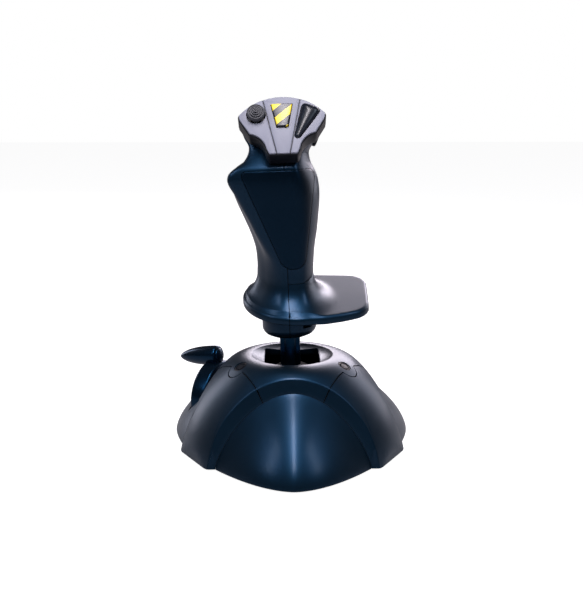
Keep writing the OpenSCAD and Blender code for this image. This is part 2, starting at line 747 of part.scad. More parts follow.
panel_t = 1.6;
deck_t = 1.6;
rim_w = 2.2;
hat_at = [-16.3, 8.4];
fan_low = 4.05;        // half width of the centre panel at its lower edge
fan_high = 12.4;       // and at its upper edge
panel_low = -19.8;
panel_top = 21.7;

function head_half() = concat([[0, panel_low], [9.1, panel_low]],
    arc([23.1, -17.5], 12.2, 172, 100, 5), [[27.3, 5]], arc([24.8, 7.6], 3, -20, 46, 3),
    arc([0, panel_top - 36], 36, 44, 88, 9));
module head_outline(s) { offset(delta = -s) polygon(concat(head_half(), flip_x(head_half()))); }

function hazard_outline(g) = [[-3.4 - g, -0.8 - g], [3.4 + g, -0.8 - g], [6.7 + g, 15.2 + g],
    [-6.7 - g, 15.2 + g]];
cone_from = [9.4, -7.2];
cone_to = [18.4, 12.0];
function cone_outline(g) = let (d = cone_to - cone_from, a = atan2(d[1], d[0]))
    concat(arc(cone_from, 1.8 + g, a + 105, a + 255, 6),
        arc(cone_to + [4.2, -3.6], 2.2 + g, a - 80, a + 25, 4), arc(cone_to + [-4.4, 3.0], 2.2 + g,
            a + 10, a + 100, 4));

module head_holes(g) {
    translate([hat_at[0], hat_at[1], 0]) cylinder(h = 40, r = hat_d / 2 + g - 0.8, center = true,
        $fn = round_fn);
    translate([0, 0, -20]) linear_extrude(40) polygon(hazard_outline(g));
    translate([0, 0, -20]) linear_extrude(40) polygon(cone_outline(g));
}

module head_housing() {
    color(dark) leaned() at_head() difference() {
        translate([0, 0, -head_d]) linear_extrude(head_d - panel_t) head_outline(0);
        translate([0, 0, -head_d - 1]) linear_extrude(head_d - panel_t - deck_t + 1) head_outline(rim_w);
        head_holes(gap);
    }
}

module panel(side) {
    color(lilac) leaned() at_head() difference() {
        translate([0, 0, -panel_t + 0.02]) linear_extrude(panel_t - 0.02) intersection() {
            head_outline(0.5);
            fan(side);
        }
        head_holes(gap);
    }
}

// Plan of one of the three panels: side is -1, 0 or 1
module fan(side) {
    g = 0.15;
    lo = panel_low - 10;
    hi = panel_top + 10;
    slope = (fan_high - fan_low) / (panel_top - panel_low);
    x0 = fan_low - 10 * slope;
    x1 = fan_high + 10 * slope;
    if (side == 0) polygon([[-x0 + g, lo], [x0 - g, lo], [x1 - g, hi], [-x1 + g, hi]]);
    else scale([side, 1]) polygon([[x0 + g, lo], [60, lo], [60, hi], [x1 + g, hi]]);
}

module faceplate_left() { panel(-1); }
module faceplate_centre() { panel(0); }
module faceplate_right() { panel(1); }

module head_pcb() {
    color([0.05, 0.3, 0.15]) leaned() at_head() translate([0, 0, -11]) difference() {
        linear_extrude(1.6) intersection() {
            head_outline(rim_w + 1);
            translate([-23, -10]) square([46, 28]);
        }
    }
}

module hat_post() {
    color(dark) leaned() at_head() translate([hat_at[0], hat_at[1], -9.4]) {
        cylinder(h = 2.4, r = 4, $fn = round_fn);
        difference() {
            cylinder(h = 6.2, r = 1.8, $fn = 32);
            translate([0, 0, 4.8]) rotate([0, 90, 0]) cylinder(h = 10, r = 0.65, center = true, $fn = 24);
        }
    }
}

// The hat tilts about a small cross: its first axis is held by the post, its second by the cap
hat_pivot_z = -4.6;
module hat_pivot() {
    color(steel) leaned() at_head() translate([hat_at[0], hat_at[1], hat_pivot_z]) {
        rotate([0, 90, 0]) cylinder(h = 6.4, r = 0.6, center = true, $fn = 24);
        difference() {
            cylinder(h = 1.6, r = 3.2, center = true, $fn = round_fn);
            cylinder(h = 4, r = 2.2, center = true, $fn = round_fn);
        }
        for (s = [-1, 1]) translate([0, s * 3.5, 0]) rotate([90, 0, 0]) cylinder(h = 1.4, r = 0.6,
            center = true,
            $fn = 24);
    }
}

hat_low = 1.25;        // gap under the cap's rim, which leaves room for the tilt
module hat_cap() {
    rings = 6;
    color(dark) leaned() at_head() translate([hat_at[0], hat_at[1], 0]) {
        difference() {
            union() {
                translate([0, 0, hat_low]) cylinder(h = 3, r1 = hat_d / 2 - 0.3, r2 = hat_d / 2,
                    $fn = round_fn);
                for (i = [0:rings - 1]) translate([0, 0, hat_low + 3 + 0.42 * i])
                    cylinder(h = 0.42, r = hat_d / 2 - 0.4 - 0.86 * i, $fn = round_fn);
                translate([0, 0, -5.6]) cylinder(h = 5.6 + hat_low, r = 4.15, $fn = round_fn);
            }
            translate([0, 0, -6]) cylinder(h = 5.2, r = 3.45, $fn = round_fn);
            translate([0, 0, hat_pivot_z]) rotate([90, 0, 0]) cylinder(h = 12, r = 0.65, center = true,
                $fn = 24);
        }
    }
}

module hazard_button() {
    color([0.95, 0.85, 0.1]) leaned() at_head() {
        translate([0, 0, -5]) linear_extrude(5.8) polygon(hazard_outline(0));
        translate([0, 0, 0.8]) linear_extrude(0.8) polygon(hazard_outline(-0.7));
        translate([0, 7, -6.6]) cylinder(h = 1.6, r = 2, $fn = 32);
    }
}

module cone_button() {
    color(dark) leaned() at_head() {
        translate([0, 0, -5]) linear_extrude(6) polygon(cone_outline(0));
        translate([0, 0, 1]) linear_extrude(1.2) polygon(cone_outline(-1.2));
        translate([16, 7, -6.6]) cylinder(h = 1.6, r = 2, $fn = 32);
    }
}

// Side button on the right flank of the head
side_at = [20.2, 3, 206.5];
module at_side() { translate(side_at) rotate([0, 112, 0]) children(); }
module side_button_space() { at_side() translate([0, 0, -14]) cylinder(h = 26, r = 5.5 + gap,
    $fn = round_fn); }
module side_button() {
    color(dark) leaned() at_side() {
        translate([0, 0, -4]) cylinder(h = 6.4, r = 5.5, $fn = round_fn);
        translate([0, 0, 2.4]) cylinder(h = 0.8, r1 = 5.5, r2 = 4.6, $fn = round_fn);
    }
}

// ---- Trigger --------------------------------------------------------------------------------

trigger_at = [0, 14, 203];      // the trigger's hinge pin
trigger_w = 10.6;

module trigger_pin() {
    color(steel) leaned() translate(trigger_at) rotate([0, 90, 0]) cylinder(h = 20, r = 1.5, center = true,
        $fn = 32);
}

// Side outline of the trigger: y away from the user, z up, about its hinge
function trigger_outline() = concat(arc([0, 0], 3.6, 70, 200, 6), [[-2, -7], [2, -11], [5.5, -15]],
    arc([22.5, -19.6], 12, 195, 205, 1), [[12, -24.5], [14.5, -24]], arc([22.5, -14], 8, 214, 140, 5),
        [[8, 4.4]]);

module trigger() {
    color(dark) leaned() translate(trigger_at) difference() {
        rotate([90, 0, 90]) translate([0, 0, -trigger_w / 2]) linear_extrude(trigger_w)
            polygon(trigger_outline());
        rotate([0, 90, 0]) cylinder(h = 40, r = 1.5 + fit, center = true, $fn = 32);
    }
}

module trigger_bracket() {
    color(dark) leaned() difference() {
        for (s = [-1, 1]) translate([s * 7.4 - 1.2, trigger_at[1] - 10, trigger_at[2] - 16]) cube([2.4,
            12.4, 19]);
        translate(trigger_at) rotate([0, 90, 0]) cylinder(h = 40, r = 1.5, center = true, $fn = 32);
    }
    color(dark) leaned() translate([-8.6, trigger_at[1] - 12, trigger_at[2] - 16]) cube([17.2, 2, 19]);
}

module trigger_switch() {
    color([0.1, 0.1, 0.12]) leaned() translate([-3, trigger_at[1] - 9.9, trigger_at[2] - 15]) cube([6,
        5.8, 7]);
}

module trigger_spring() {
    color(steel) leaned() translate([0, trigger_at[1] - 9.5, trigger_at[2] - 4.6]) rotate([-90, 0, 0])
        coil(2, 0.35, 5, 5);
}

base_plate();
rubber_feet();
base_screws();
hub_cap();
leg_left();
leg_right();
leg_rear();
dome_front();
dome_left();
dome_right();
screw_plugs();
hub_screws();
gimbal_frame();
roll_pot();
main_pcb();
cable_gland();
throttle_bracket();
throttle_axle();
throttle_pot();
throttle_wheel();
throttle_lever();
throttle_knob();
knob_cap();
gimbal_ring();
roll_pins();
pitch_pins();
pitch_pot();
roll_spring();
pitch_spring();
stick_shaft();
dust_shield();
grip_left_shell();
grip_right_shell();
hand_rest();
palm_insert();
grip_screws();
head_housing();
faceplate_left();
faceplate_centre();
faceplate_right();
head_pcb();
hat_post();
hat_pivot();
hat_cap();
hazard_button();
cone_button();
side_button();
trigger_bracket();
trigger_pin();
trigger_switch();
trigger();
trigger_spring();
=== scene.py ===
import json
import math

import bmesh
import bpy
import numpy as np
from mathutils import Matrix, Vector

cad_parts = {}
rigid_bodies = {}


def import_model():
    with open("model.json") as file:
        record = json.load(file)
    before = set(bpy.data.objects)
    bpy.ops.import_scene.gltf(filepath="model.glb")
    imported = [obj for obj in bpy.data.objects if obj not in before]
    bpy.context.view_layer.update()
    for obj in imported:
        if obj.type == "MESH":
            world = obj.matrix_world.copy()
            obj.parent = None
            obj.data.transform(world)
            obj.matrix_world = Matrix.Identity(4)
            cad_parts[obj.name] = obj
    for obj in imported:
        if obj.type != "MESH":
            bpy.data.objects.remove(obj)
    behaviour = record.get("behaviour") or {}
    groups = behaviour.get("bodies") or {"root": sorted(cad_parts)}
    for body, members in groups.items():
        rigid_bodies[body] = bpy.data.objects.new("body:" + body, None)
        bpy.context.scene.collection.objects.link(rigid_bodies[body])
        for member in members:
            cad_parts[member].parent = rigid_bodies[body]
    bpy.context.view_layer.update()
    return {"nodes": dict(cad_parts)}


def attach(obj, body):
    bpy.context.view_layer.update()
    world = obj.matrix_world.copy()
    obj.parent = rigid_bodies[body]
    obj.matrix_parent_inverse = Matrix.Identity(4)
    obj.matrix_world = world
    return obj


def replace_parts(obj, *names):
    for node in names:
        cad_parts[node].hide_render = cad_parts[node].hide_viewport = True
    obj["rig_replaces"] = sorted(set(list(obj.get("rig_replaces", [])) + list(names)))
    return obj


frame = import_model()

# Lengths below are in millimetres, as in the CAD source; MM turns them into metres.
MM = 0.001
TAU = 2 * math.pi

# ---- Camera, world and light --------------------------------------------------------------------

camera_data = bpy.data.cameras.new("camera")
camera_data.lens = 60.35
camera = bpy.data.objects.new("camera", camera_data)
camera.location = (-0.01143, -0.6530, 0.2490)
camera.rotation_euler = (math.radians(77.25), 0, math.radians(-0.974))
bpy.context.collection.objects.link(camera)
bpy.context.scene.camera = camera


def softbox(name, place, target, size, power, colour):
    """A large area light at place that faces target."""
    data = bpy.data.lights.new(name, "AREA")
    data.shape = "RECTANGLE"
    data.size, data.size_y = size
    data.energy = power
    data.color = colour
    light = bpy.data.objects.new(name, data)
    light.location = place
    light.rotation_euler = (Vector(place) - Vector(target)).to_track_quat("Z", "Y").to_euler()
    bpy.context.collection.objects.link(light)


softbox("back", (0.30, 1.10, 0.52), (0, 0, 0.1), (0.9, 0.35), 9.0, (1.0, 0.89, 0.95))
softbox("right", (0.85, 0.70, 0.40), (0, 0, 0.10), (0.4, 0.7), 2.2, (1.0, 0.93, 0.98))
softbox("left", (-0.85, 0.70, 0.36), (0, 0, 0.10), (0.3, 0.7), 2.4, (0.96, 0.93, 1.0))
softbox("front_left", (-0.55, -0.34, 0.62), (0, 0, 0.06), (0.10, 0.45), 1.6, (0.75, 0.86, 1.0))
softbox("front_right", (0.55, -0.34, 0.62), (0, 0, 0.06), (0.10, 0.45), 1.6, (0.75, 0.86, 1.0))
softbox("front_strip", (0.0, -0.38, 0.84), (0, -0.05, 0.03), (0.12, 0.62), 8.0, (1.0, 0.95, 1.0))

world = bpy.data.worlds.new("world")
world.use_nodes = True
sky = world.node_tree
dim = sky.nodes["Background"]
dim.inputs["Color"].default_value = (0.92, 0.90, 1.0, 1)
dim.inputs["Strength"].default_value = 0.07
white = sky.nodes.new("ShaderNodeBackground")
white.inputs["Color"].default_value = (1, 1, 1, 1)
seen = sky.nodes.new("ShaderNodeLightPath")
either = sky.nodes.new("ShaderNodeMixShader")
sky.links.new(seen.outputs["Is Camera Ray"], either.inputs["Fac"])
sky.links.new(dim.outputs["Background"], either.inputs[1])
sky.links.new(white.outputs["Background"], either.inputs[2])
sky.links.new(either.outputs["Shader"], sky.nodes["World Output"].inputs["Surface"])
bpy.context.scene.world = world
bpy.context.scene.view_settings.view_transform = "Standard"

# ---- Materials ----------------------------------------------------------------------------------


GRAIN_SIZE = 0.35
GRAIN_DEPTH = 0.12
COAT_ROUGH = 0.26
ROUGH_SPREAD = 0.04


def plastic(name, colour, rough, grain=0.0, specular=0.5, tint=(1, 1, 1), coat=0.0, metal=0.0,
            mottle=0.08):
    """Moulded plastic or metal: slightly mottled, with a fine moulded grain in the normal."""
    mat = bpy.data.materials.new(name)
    mat.use_nodes = True
    tree = mat.node_tree
    nodes, links = tree.nodes, tree.links
    shader = nodes["Principled BSDF"]
    shader.inputs["Metallic"].default_value = metal
    shader.inputs["Specular IOR Level"].default_value = specular
    shader.inputs["Specular Tint"].default_value = tuple(tint) + (1,)
    shader.inputs["Coat Weight"].default_value = coat
    shader.inputs["Coat Roughness"].default_value = COAT_ROUGH
    place = nodes.new("ShaderNodeTexCoord")
    broad = nodes.new("ShaderNodeTexNoise")
    broad.inputs["Scale"].default_value = 28
    broad.inputs["Detail"].default_value = 3
    links.new(place.outputs["Object"], broad.inputs["Vector"])
    ramp = nodes.new("ShaderNodeValToRGB")
    for stop, gain in zip(ramp.color_ramp.elements, (1 - mottle, 1 + mottle)):
        stop.color = tuple(min(1, c * gain) for c in colour) + (1,)
    ramp.color_ramp.elements[0].position = 0.3
    ramp.color_ramp.elements[1].position = 0.7
    links.new(broad.outputs["Fac"], ramp.inputs["Fac"])
    links.new(ramp.outputs["Color"], shader.inputs["Base Color"])
    spread = nodes.new("ShaderNodeMapRange")
    spread.inputs["To Min"].default_value = rough - ROUGH_SPREAD
    spread.inputs["To Max"].default_value = rough + ROUGH_SPREAD
    links.new(broad.outputs["Fac"], spread.inputs["Value"])
    links.new(spread.outputs["Result"], shader.inputs["Roughness"])
    if grain:
        fine = nodes.new("ShaderNodeTexNoise")
        fine.inputs["Scale"].default_value = 1 / (GRAIN_SIZE * MM)
        fine.inputs["Detail"].default_value = 2
        links.new(place.outputs["Object"], fine.inputs["Vector"])
        bump = nodes.new("ShaderNodeBump")
        bump.inputs["Strength"].default_value = grain
        bump.inputs["Distance"].default_value = GRAIN_DEPTH * MM
        links.new(fine.outputs["Fac"], bump.inputs["Height"])
        links.new(bump.outputs["Normal"], shader.inputs["Normal"])
    return mat


BLUE_SHEEN = (0.01, 0.36, 0.90)
NAVY = plastic("satin_navy", (0.002, 0.005, 0.008), 0.38, grain=0.15, tint=BLUE_SHEEN, coat=0.22)
INSERT = plastic("satin_insert", (0.001, 0.002, 0.003), 0.36, grain=0.15, specular=0.35,
                 tint=BLUE_SHEEN, coat=0.10)
BLACK = plastic("satin_black", (0.003, 0.004, 0.007), 0.42, grain=0.2, specular=0.25)
# Matt black: the dust shield's own colour, and painted shade on the bottoms of the seams between
# mouldings.
MATT_BLACK_AND_SEAM_SHADE = plastic("matt_black_and_seam_shade", (0.002, 0.002, 0.003), 0.8, specular=0.08)
BUTTON = plastic("button_black", (0.004, 0.006, 0.012), 0.30, grain=0.1, specular=0.4)
HAT = plastic("hat_rubber", (0.035, 0.036, 0.045), 0.5, grain=0.1)
GLOSS = plastic("gloss_black", (0.001, 0.003, 0.006), 0.24, tint=BLUE_SHEEN, coat=0.06)
# Faceplates: lilac grey painted as the reflection of a large soft light on satin black plastic.
PANEL_PAINTED_REFLECTION = plastic("panel_grey", (0.205, 0.21, 0.265), 0.45, grain=0.15, specular=0.3, mottle=0.03)
STEEL = plastic("steel", (0.55, 0.56, 0.58), 0.3, metal=1.0)
RUBBER = plastic("rubber", (0.02, 0.02, 0.02), 0.8, grain=0.5)
BLUE = plastic("component_blue", (0.03, 0.08, 0.25), 0.4)
GREEN = plastic("board_green", (0.02, 0.12, 0.05), 0.4)


def striped(name):
    """Yellow and black diagonal stripes, slanted up to the right across the button's face."""
    mat = plastic(name, (0.80, 0.58, 0.01), 0.34)
    nodes, links = mat.node_tree.nodes, mat.node_tree.links
    shader = nodes["Principled BSDF"]
    yellow = shader.inputs["Base Color"].links[0].from_socket
    place = nodes.new("ShaderNodeTexCoord")
    along = nodes.new("ShaderNodeVectorMath")
    along.operation = "DOT_PRODUCT"
    along.inputs[1].default_value = STRIPE_DIRECTION
    links.new(place.outputs["Object"], along.inputs[0])
    wave = nodes.new("ShaderNodeMath")
    wave.operation = "SINE"
    links.new(along.outputs["Value"], wave.inputs[0])
    step = nodes.new("ShaderNodeMapRange")
    step.inputs["From Min"].default_value = -STRIPE_BLUR
    step.inputs["From Max"].default_value = STRIPE_BLUR
    links.new(wave.outputs["Value"], step.inputs["Value"])
    mix = nodes.new("ShaderNodeMix")
    mix.data_type = "RGBA"
    mix.inputs["A"].default_value = (0.012, 0.013, 0.02, 1)
    links.new(step.outputs["Result"], mix.inputs["Factor"])
    links.new(yellow, mix.inputs["B"])
    links.new(mix.outputs["Result"], shader.inputs["Base Color"])
    return mat


# ---- Mesh helpers -------------------------------------------------------------------------------

LEAN = math.radians(-2)
PIVOT = np.array([0, 0, 32.0])
HEAD = np.array([0, -24.0, 216.0])
HEAD_TILT = 33
HEAD_TURN = math.radians(90 - HEAD_TILT)
LOBES = (0, 120, 240)
LEGS = (60, 180, 300)
ON_AXIS = 0.01        # radius of a lathed profile where it meets the axis
SKIN = 2.0            # wall of the base's mouldings
BEVEL_ANGLE, SHARP_ANGLE = 35, 50


def turn_x(points, angle):
    """The points turned about X by an angle in radians."""
    c, s = math.cos(angle), math.sin(angle)
    return np.asarray(points, float) @ np.array([[1, 0, 0], [0, c, -s], [0, s, c]]).T


def turn_y(points, angle):
    """The points turned about Y by an angle in radians."""
    c, s = math.cos(angle), math.sin(angle)
    return np.asarray(points, float) @ np.array([[c, 0, s], [0, 1, 0], [-s, 0, c]]).T


def turn_z(points, degrees):
    """The points turned about Z by an angle in degrees."""
    a = math.radians(degrees)
    c, s = math.cos(a), math.sin(a)
    return np.asarray(points, float) @ np.array([[c, -s, 0], [s, c, 0], [0, 0, 1]]).T


def leaned(points):
    """From the stick's own upright frame to the part's frame."""
    return turn_y(np.asarray(points, float) - PIVOT, LEAN) + PIVOT


def on_head(points):
    """From the panel's frame, X across, Y up the panel and Z out of it, to the part's frame."""
    return leaned(turn_x(points, HEAD_TURN) + HEAD)


STRIPE_SLANT = math.radians(-50)      # from the panel's X, across the stripes
STRIPE_PAIR = 9                       # width of a yellow and a black stripe together
STRIPE_BLUR = 0.08                    # half width of a stripe's edge, as a share of the wave
slant = [[math.cos(STRIPE_SLANT), math.sin(STRIPE_SLANT), 0]]
stripe = on_head(slant)[0] - on_head([[0, 0, 0]])[0]
STRIPE_DIRECTION = tuple(stripe * TAU / (STRIPE_PAIR * MM))
STRIPES = striped("hazard_stripes")


def mesh_object(name, points, faces, material, smooth=True, painted_shade=()):
    """An object from points in millimetres, with doubled points merged and normals outwards.

    The faces listed as groove bottoms are painted matt black: painted shade in the seams.
    """
    mesh = bpy.data.meshes.new(name)
    mesh.from_pydata((np.asarray(points, float) * MM).tolist(), [], faces)
    for i in painted_shade:
        mesh.polygons[i].material_index = 1
    piece = bpy.data.objects.new(name, mesh)
    bpy.context.collection.objects.link(piece)
    b = bmesh.new()
    b.from_mesh(mesh)
    bmesh.ops.delete(b, geom=[v for v in b.verts if not v.link_faces], context="VERTS")
    bmesh.ops.remove_doubles(b, verts=b.verts, dist=2e-6)
    bmesh.ops.dissolve_degenerate(b, edges=b.edges, dist=1e-6)
    bmesh.ops.recalc_face_normals(b, faces=b.faces)
    b.to_mesh(mesh)
    b.free()
    if smooth:
        mesh.shade_smooth()
    mesh.materials.append(material)
    if len(painted_shade):
        mesh.materials.append(MATT_BLACK_AND_SEAM_SHADE)
    return piece


def grid_faces(rows, cols, wrap=False):
    """Quads of a rows by cols grid of points; wrap joins the last column to the first."""
    return [(r * cols + c, r * cols + (c + 1) % cols,
             (r + 1) * cols + (c + 1) % cols, (r + 1) * cols + c)
            for r in range(rows - 1) for c in range(cols if wrap else cols - 1)]


def grid_object(name, grid, material, wrap=False, caps=()):
    """An object from a grid of points; caps says which end rows are closed by a face, 0 or -1."""
    rows, cols = grid.shape[:2]
    faces = grid_faces(rows, cols, wrap)
    if 0 in caps:
        faces.append(tuple(range(cols)))
    if -1 in caps:
        faces.append(tuple(range((rows - 1) * cols, rows * cols)))
    return mesh_object(name, grid.reshape(-1, 3), faces, material)


def lathe(name, profile, material, to_part, steps=96, caps=(0, -1)):
    """A body of revolution about Z from (radius, height) pairs, placed by to_part."""
    a = np.linspace(0, TAU, steps, endpoint=False)
    grid = np.array([[(r * math.cos(t), r * math.sin(t), z) for t in a] for r, z in profile])
    grid = to_part(grid.reshape(-1, 3)).reshape(grid.shape)
    return grid_object(name, grid, material, wrap=True, caps=caps)


def prism(name, outline, low, high, material, to_part, bevel=0.5, segments=3):
    """An outline in XY extruded from low to high, with bevelled edges."""
    n = len(outline)
    points = [(x, y, z) for z in (low, high) for x, y in outline]
    faces = [tuple(range(n - 1, -1, -1)), tuple(range(n, 2 * n))]
    faces += [(i, (i + 1) % n, n + (i + 1) % n, n + i) for i in range(n)]
    piece = mesh_object(name, to_part(points), faces, material, smooth=False)
    soften(piece, bevel, segments)
    return piece


def apply_modifiers(piece):
    """Bakes the piece's modifiers into its mesh."""
    graph = bpy.context.evaluated_depsgraph_get()
    mesh = bpy.data.meshes.new_from_object(piece.evaluated_get(graph))
    piece.modifiers.clear()
    old = piece.data
    piece.data = mesh
    bpy.data.meshes.remove(old)


def soften(piece, width, segments):
    """Rounds the piece's sharp edges and shades it smoothly."""
    if width:
        bevel = piece.modifiers.new("bevel", "BEVEL")
        bevel.width = width * MM
        bevel.segments = segments
        bevel.limit_method = "ANGLE"
        bevel.angle_limit = math.radians(BEVEL_ANGLE)
        bevel.harden_normals = False
        apply_modifiers(piece)
    piece.data.shade_smooth()
    piece.data.set_sharp_from_angle(angle=math.radians(SHARP_ANGLE))


def thicken(piece):
    """Gives an open skin a wall on its inner side."""
    wall = piece.modifiers.new("wall", "SOLIDIFY")
    wall.thickness = SKIN * MM
    wall.offset = -1
    apply_modifiers(piece)


def carve(piece, cutter):
    """Cuts cutter out of piece and removes cutter."""
    cut = piece.modifiers.new("cut", "BOOLEAN")
    cut.operation = "DIFFERENCE"
    cut.solver = "EXACT"
    cut.object = cutter
    apply_modifiers(piece)
    bpy.data.objects.remove(cutter)


def arc(centre, radius, start, end, steps):
    """Points of an arc from angle start to angle end, in degrees."""
    a = np.radians(np.linspace(start, end, steps + 1))
    return np.column_stack([centre[0] + radius * np.cos(a), centre[1] + radius * np.sin(a)])


def add(piece, body, slot, *nodes):
    """Rides the piece on its body and says which CAD nodes it stands for."""
    piece.data.set_sharp_from_angle(angle=math.radians(SHARP_ANGLE))
    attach(piece, body)
    if nodes:
        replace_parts(piece, *nodes)


# ---- Base ---------------------------------------------------------------------------------------

# The dome's profile is a shoulder arc that runs into a flank arc, each with its radius and centre
RIM_Z = 61.3
SHOULDER_R, FLANK_R = 23.4, 102.0
SHOULDER_C, FLANK_C = (29.0, RIM_Z - SHOULDER_R), (-21.3, -22.5)
CUT_D, CUT_SLOPE = 55.0, 0.21         # the plane of an arch: distance at the ground, and lean
ARCH_W, ARCH_H, LOBE_R = 50.3, 47.4, 91.3
ARCH_SIDE, ARCH_CROWN = 1.9, 0.75     # exponents of the arch's outline
LEG_FACE = 76.4
WALL = 2.4
OPENING, OPENING_R = 18.6, 3.5
DISH_R, DISH_DROP, DISH_FLAT, DISH_EDGE, DISH_RISE = 27.8, 2.6, 17.6, 0.4, 0.25
HUB_SEAM, PLUG_D, PLUG_BULGE, PLUG_R = 42.5, 40.0, 8.0, 4.6
GROOVE = 0.8
SEAM_STEPS = (-0.42, -0.30, 0.30, 0.42)     # lips and bottom of a seam, from its middle
SEAM_CLEAR = 0.6
CAP_ROWS, LEG_ROWS, BAND_ROWS = 22, 26, 11  # rows of the base grid on hub cap, leg and arch band
FILLET = 0.7                                # rounding between the dome and the arch band
BAND_ROUND = 0.5
DISH_ROWS = 12

arcs_meet = math.degrees(math.atan2(SHOULDER_C[1] - FLANK_C[1], SHOULDER_C[0] - FLANK_C[0]))
on_ground = math.degrees(math.asin(-FLANK_C[1] / FLANK_R))
PROFILE = np.vstack([arc(SHOULDER_C, SHOULDER_R, 90, arcs_meet, 200),
                     arc(FLANK_C, FLANK_R, arcs_meet, on_ground, 600)[1:]])
RUN = np.concatenate([[0], np.cumsum(np.linalg.norm(np.diff(PROFILE, axis=0), axis=1))])


def dome_at(run):
    """Radius and height of the dome at a distance run down its profile from the shoulder's top."""
    return np.interp(run, RUN, PROFILE[:, 0]), np.interp(run, RUN, PROFILE[:, 1])


def run_at_radius(radius):
    """Distance run down the dome's profile at a radius."""
    return np.interp(radius, PROFILE[:, 0], RUN)


def arch_plane(z):
    """Distance of an arch's plane from the axis at height z."""
    return CUT_D - CUT_SLOPE * z


def edge_run(off_lobe):
    """Where the dome ends at an azimuth off a lobe: at the arch plane, or on the ground."""
    beyond = PROFILE[:, 0] * math.cos(off_lobe) - arch_plane(PROFILE[:, 1])
    hit = np.nonzero(beyond > 0)[0]
    return RUN[hit[0]] if len(hit) else RUN[-1]


def seam_radius(off_leg):
    """Distance of the seam between hub cap and leg, with its bulge round the screw plug."""
    line = HUB_SEAM / max(0.2, math.cos(off_leg))
    side = PLUG_D * math.sin(off_leg)
    if abs(side) < PLUG_BULGE:
        return max(line, PLUG_D * math.cos(off_leg) + math.sqrt(PLUG_BULGE ** 2 - side ** 2))
    return line


def opening_radius(a):
    """Distance to the square opening's rounded outline at angle a."""
    t = abs((a + math.pi / 4) % (math.pi / 2) - math.pi / 4)
    flat = OPENING - OPENING_R
    if OPENING * math.tan(t) <= flat:
        return OPENING / math.cos(t)
    dot = flat * (math.cos(t) + math.sin(t))
    return dot + math.sqrt(dot ** 2 - 2 * flat ** 2 + OPENING_R ** 2)


arch_t = np.sin(np.linspace(-1, 1, 801) * math.pi / 2)
ARCH = np.column_stack([ARCH_W * arch_t,
                        ARCH_H * (1 - np.abs(arch_t) ** ARCH_SIDE) ** ARCH_CROWN])
ARCH_ANGLE = np.arctan2(ARCH[:, 1], ARCH[:, 0])[::-1]


def arch_point(angle):
    """Point of the arch opening's outline seen at an angle from the middle of its foot."""
    return tuple(np.interp(angle, ARCH_ANGLE, ARCH[::-1, i]) for i in (0, 1))


ARCH_FOOT = math.acos(CUT_D / PROFILE[-1, 0])     # azimuth off a lobe
FOOT_TURN = 0.25      # degrees in which the dome's edge runs down to the ground beside an arch


def seam_azimuth():
    """Azimuth off a lobe at which the hub cap's seam runs out over the arch's edge."""
    steps = (math.radians(tenth / 10) for tenth in range(200, 450))
    return next(a for a in steps if run_at_radius(seam_radius(math.pi / 3 - a)) < edge_run(a))


SEAM_AT = seam_azimuth()


def base_columns():
    """Azimuths off a lobe from 0 to 60 degrees, close together where seams and corners are."""
    degrees = np.linspace(0, 60, 121)
    marks = [math.degrees(SEAM_AT) + d for d in (-0.9, *SEAM_STEPS, 0.9)]
    marks += [math.degrees(ARCH_FOOT) + d for d in (*np.linspace(-FOOT_TURN, 0, 10), 0.05)]
    return np.radians(np.unique(np.round(np.concatenate([degrees, marks]), 4)))


def dome_rows(off_lobe, end):
    """Points of one column on the hub cap and leg, with the seam between them sunk."""
    seam = run_at_radius(seam_radius(math.pi / 3 - off_lobe))
    last = end - FILLET
    runs = list(np.linspace(0, min(seam - SEAM_CLEAR, last), CAP_ROWS))
    drops = [0] * CAP_ROWS
    for step, drop in zip(SEAM_STEPS, (0, GROOVE, GROOVE, 0)):
        runs.append(min(seam + step, last))
        drops.append(drop if seam + step < last - 0.01 else 0)
    runs += list(np.linspace(min(seam + SEAM_CLEAR, last), last, LEG_ROWS))
    drops += [0] * LEG_ROWS
    radius, height = dome_at(np.array(runs))
    below = dome_at(np.array(runs) + 0.05)
    nx, nz = height - below[1], below[0] - radius
    size = np.hypot(nx, nz) + 1e-9
    radius, height = radius - drops * nx / size, height - drops * nz / size
    c, s = math.cos(off_lobe), math.sin(off_lobe)
    return [(r * s, -r * c, z) for r, z in zip(radius, height)]


def base_column(off_lobe):
    """Points of one column from the shoulder's top down the dome and round the arch band."""
    turned = 1 + math.degrees(off_lobe - ARCH_FOOT) / FOOT_TURN
    if 0 < turned <= 1.001:
        start = edge_run(ARCH_FOOT - math.radians(FOOT_TURN))
        end = start + (RUN[-1] - start) * min(1, turned)
    else:
        end = edge_run(off_lobe)
    rows = dome_rows(off_lobe, end)
    r, z = dome_at(end)
    edge = np.array([r * math.sin(off_lobe), -r * math.cos(off_lobe), z])
    if off_lobe > ARCH_FOOT + 1e-5:
        return np.vstack([rows, np.tile(edge, (BAND_ROWS, 1))])
    x, up = arch_point(math.atan2(edge[2], edge[0]))
    inner = np.array([x, -arch_plane(up), up])
    along = inner - edge
    width = np.linalg.norm(along)
    low = edge + along * min(0.45, FILLET / width)
    high = inner - along * min(0.45, BAND_ROUND / width)
    rows.append(tuple(0.25 * np.array(rows[-1]) + 0.5 * edge + 0.25 * low))
    in_seam = abs(off_lobe - SEAM_AT) < math.radians(0.35)
    sink = np.array([0, GROOVE, -GROOVE * CUT_SLOPE]) if in_seam else np.zeros(3)
    for v in np.linspace(0, 1, BAND_ROWS - 3):
        rows.append(tuple(low + (high - low) * v + sink * (1 - v ** 4)))
    back = np.array([0, WALL, -WALL * CUT_SLOPE])
    rows.append(tuple(0.25 * high + 0.5 * inner + 0.25 * (inner + BAND_ROUND * back / WALL)))
    rows.append(tuple(inner + back))
    return np.array(rows)


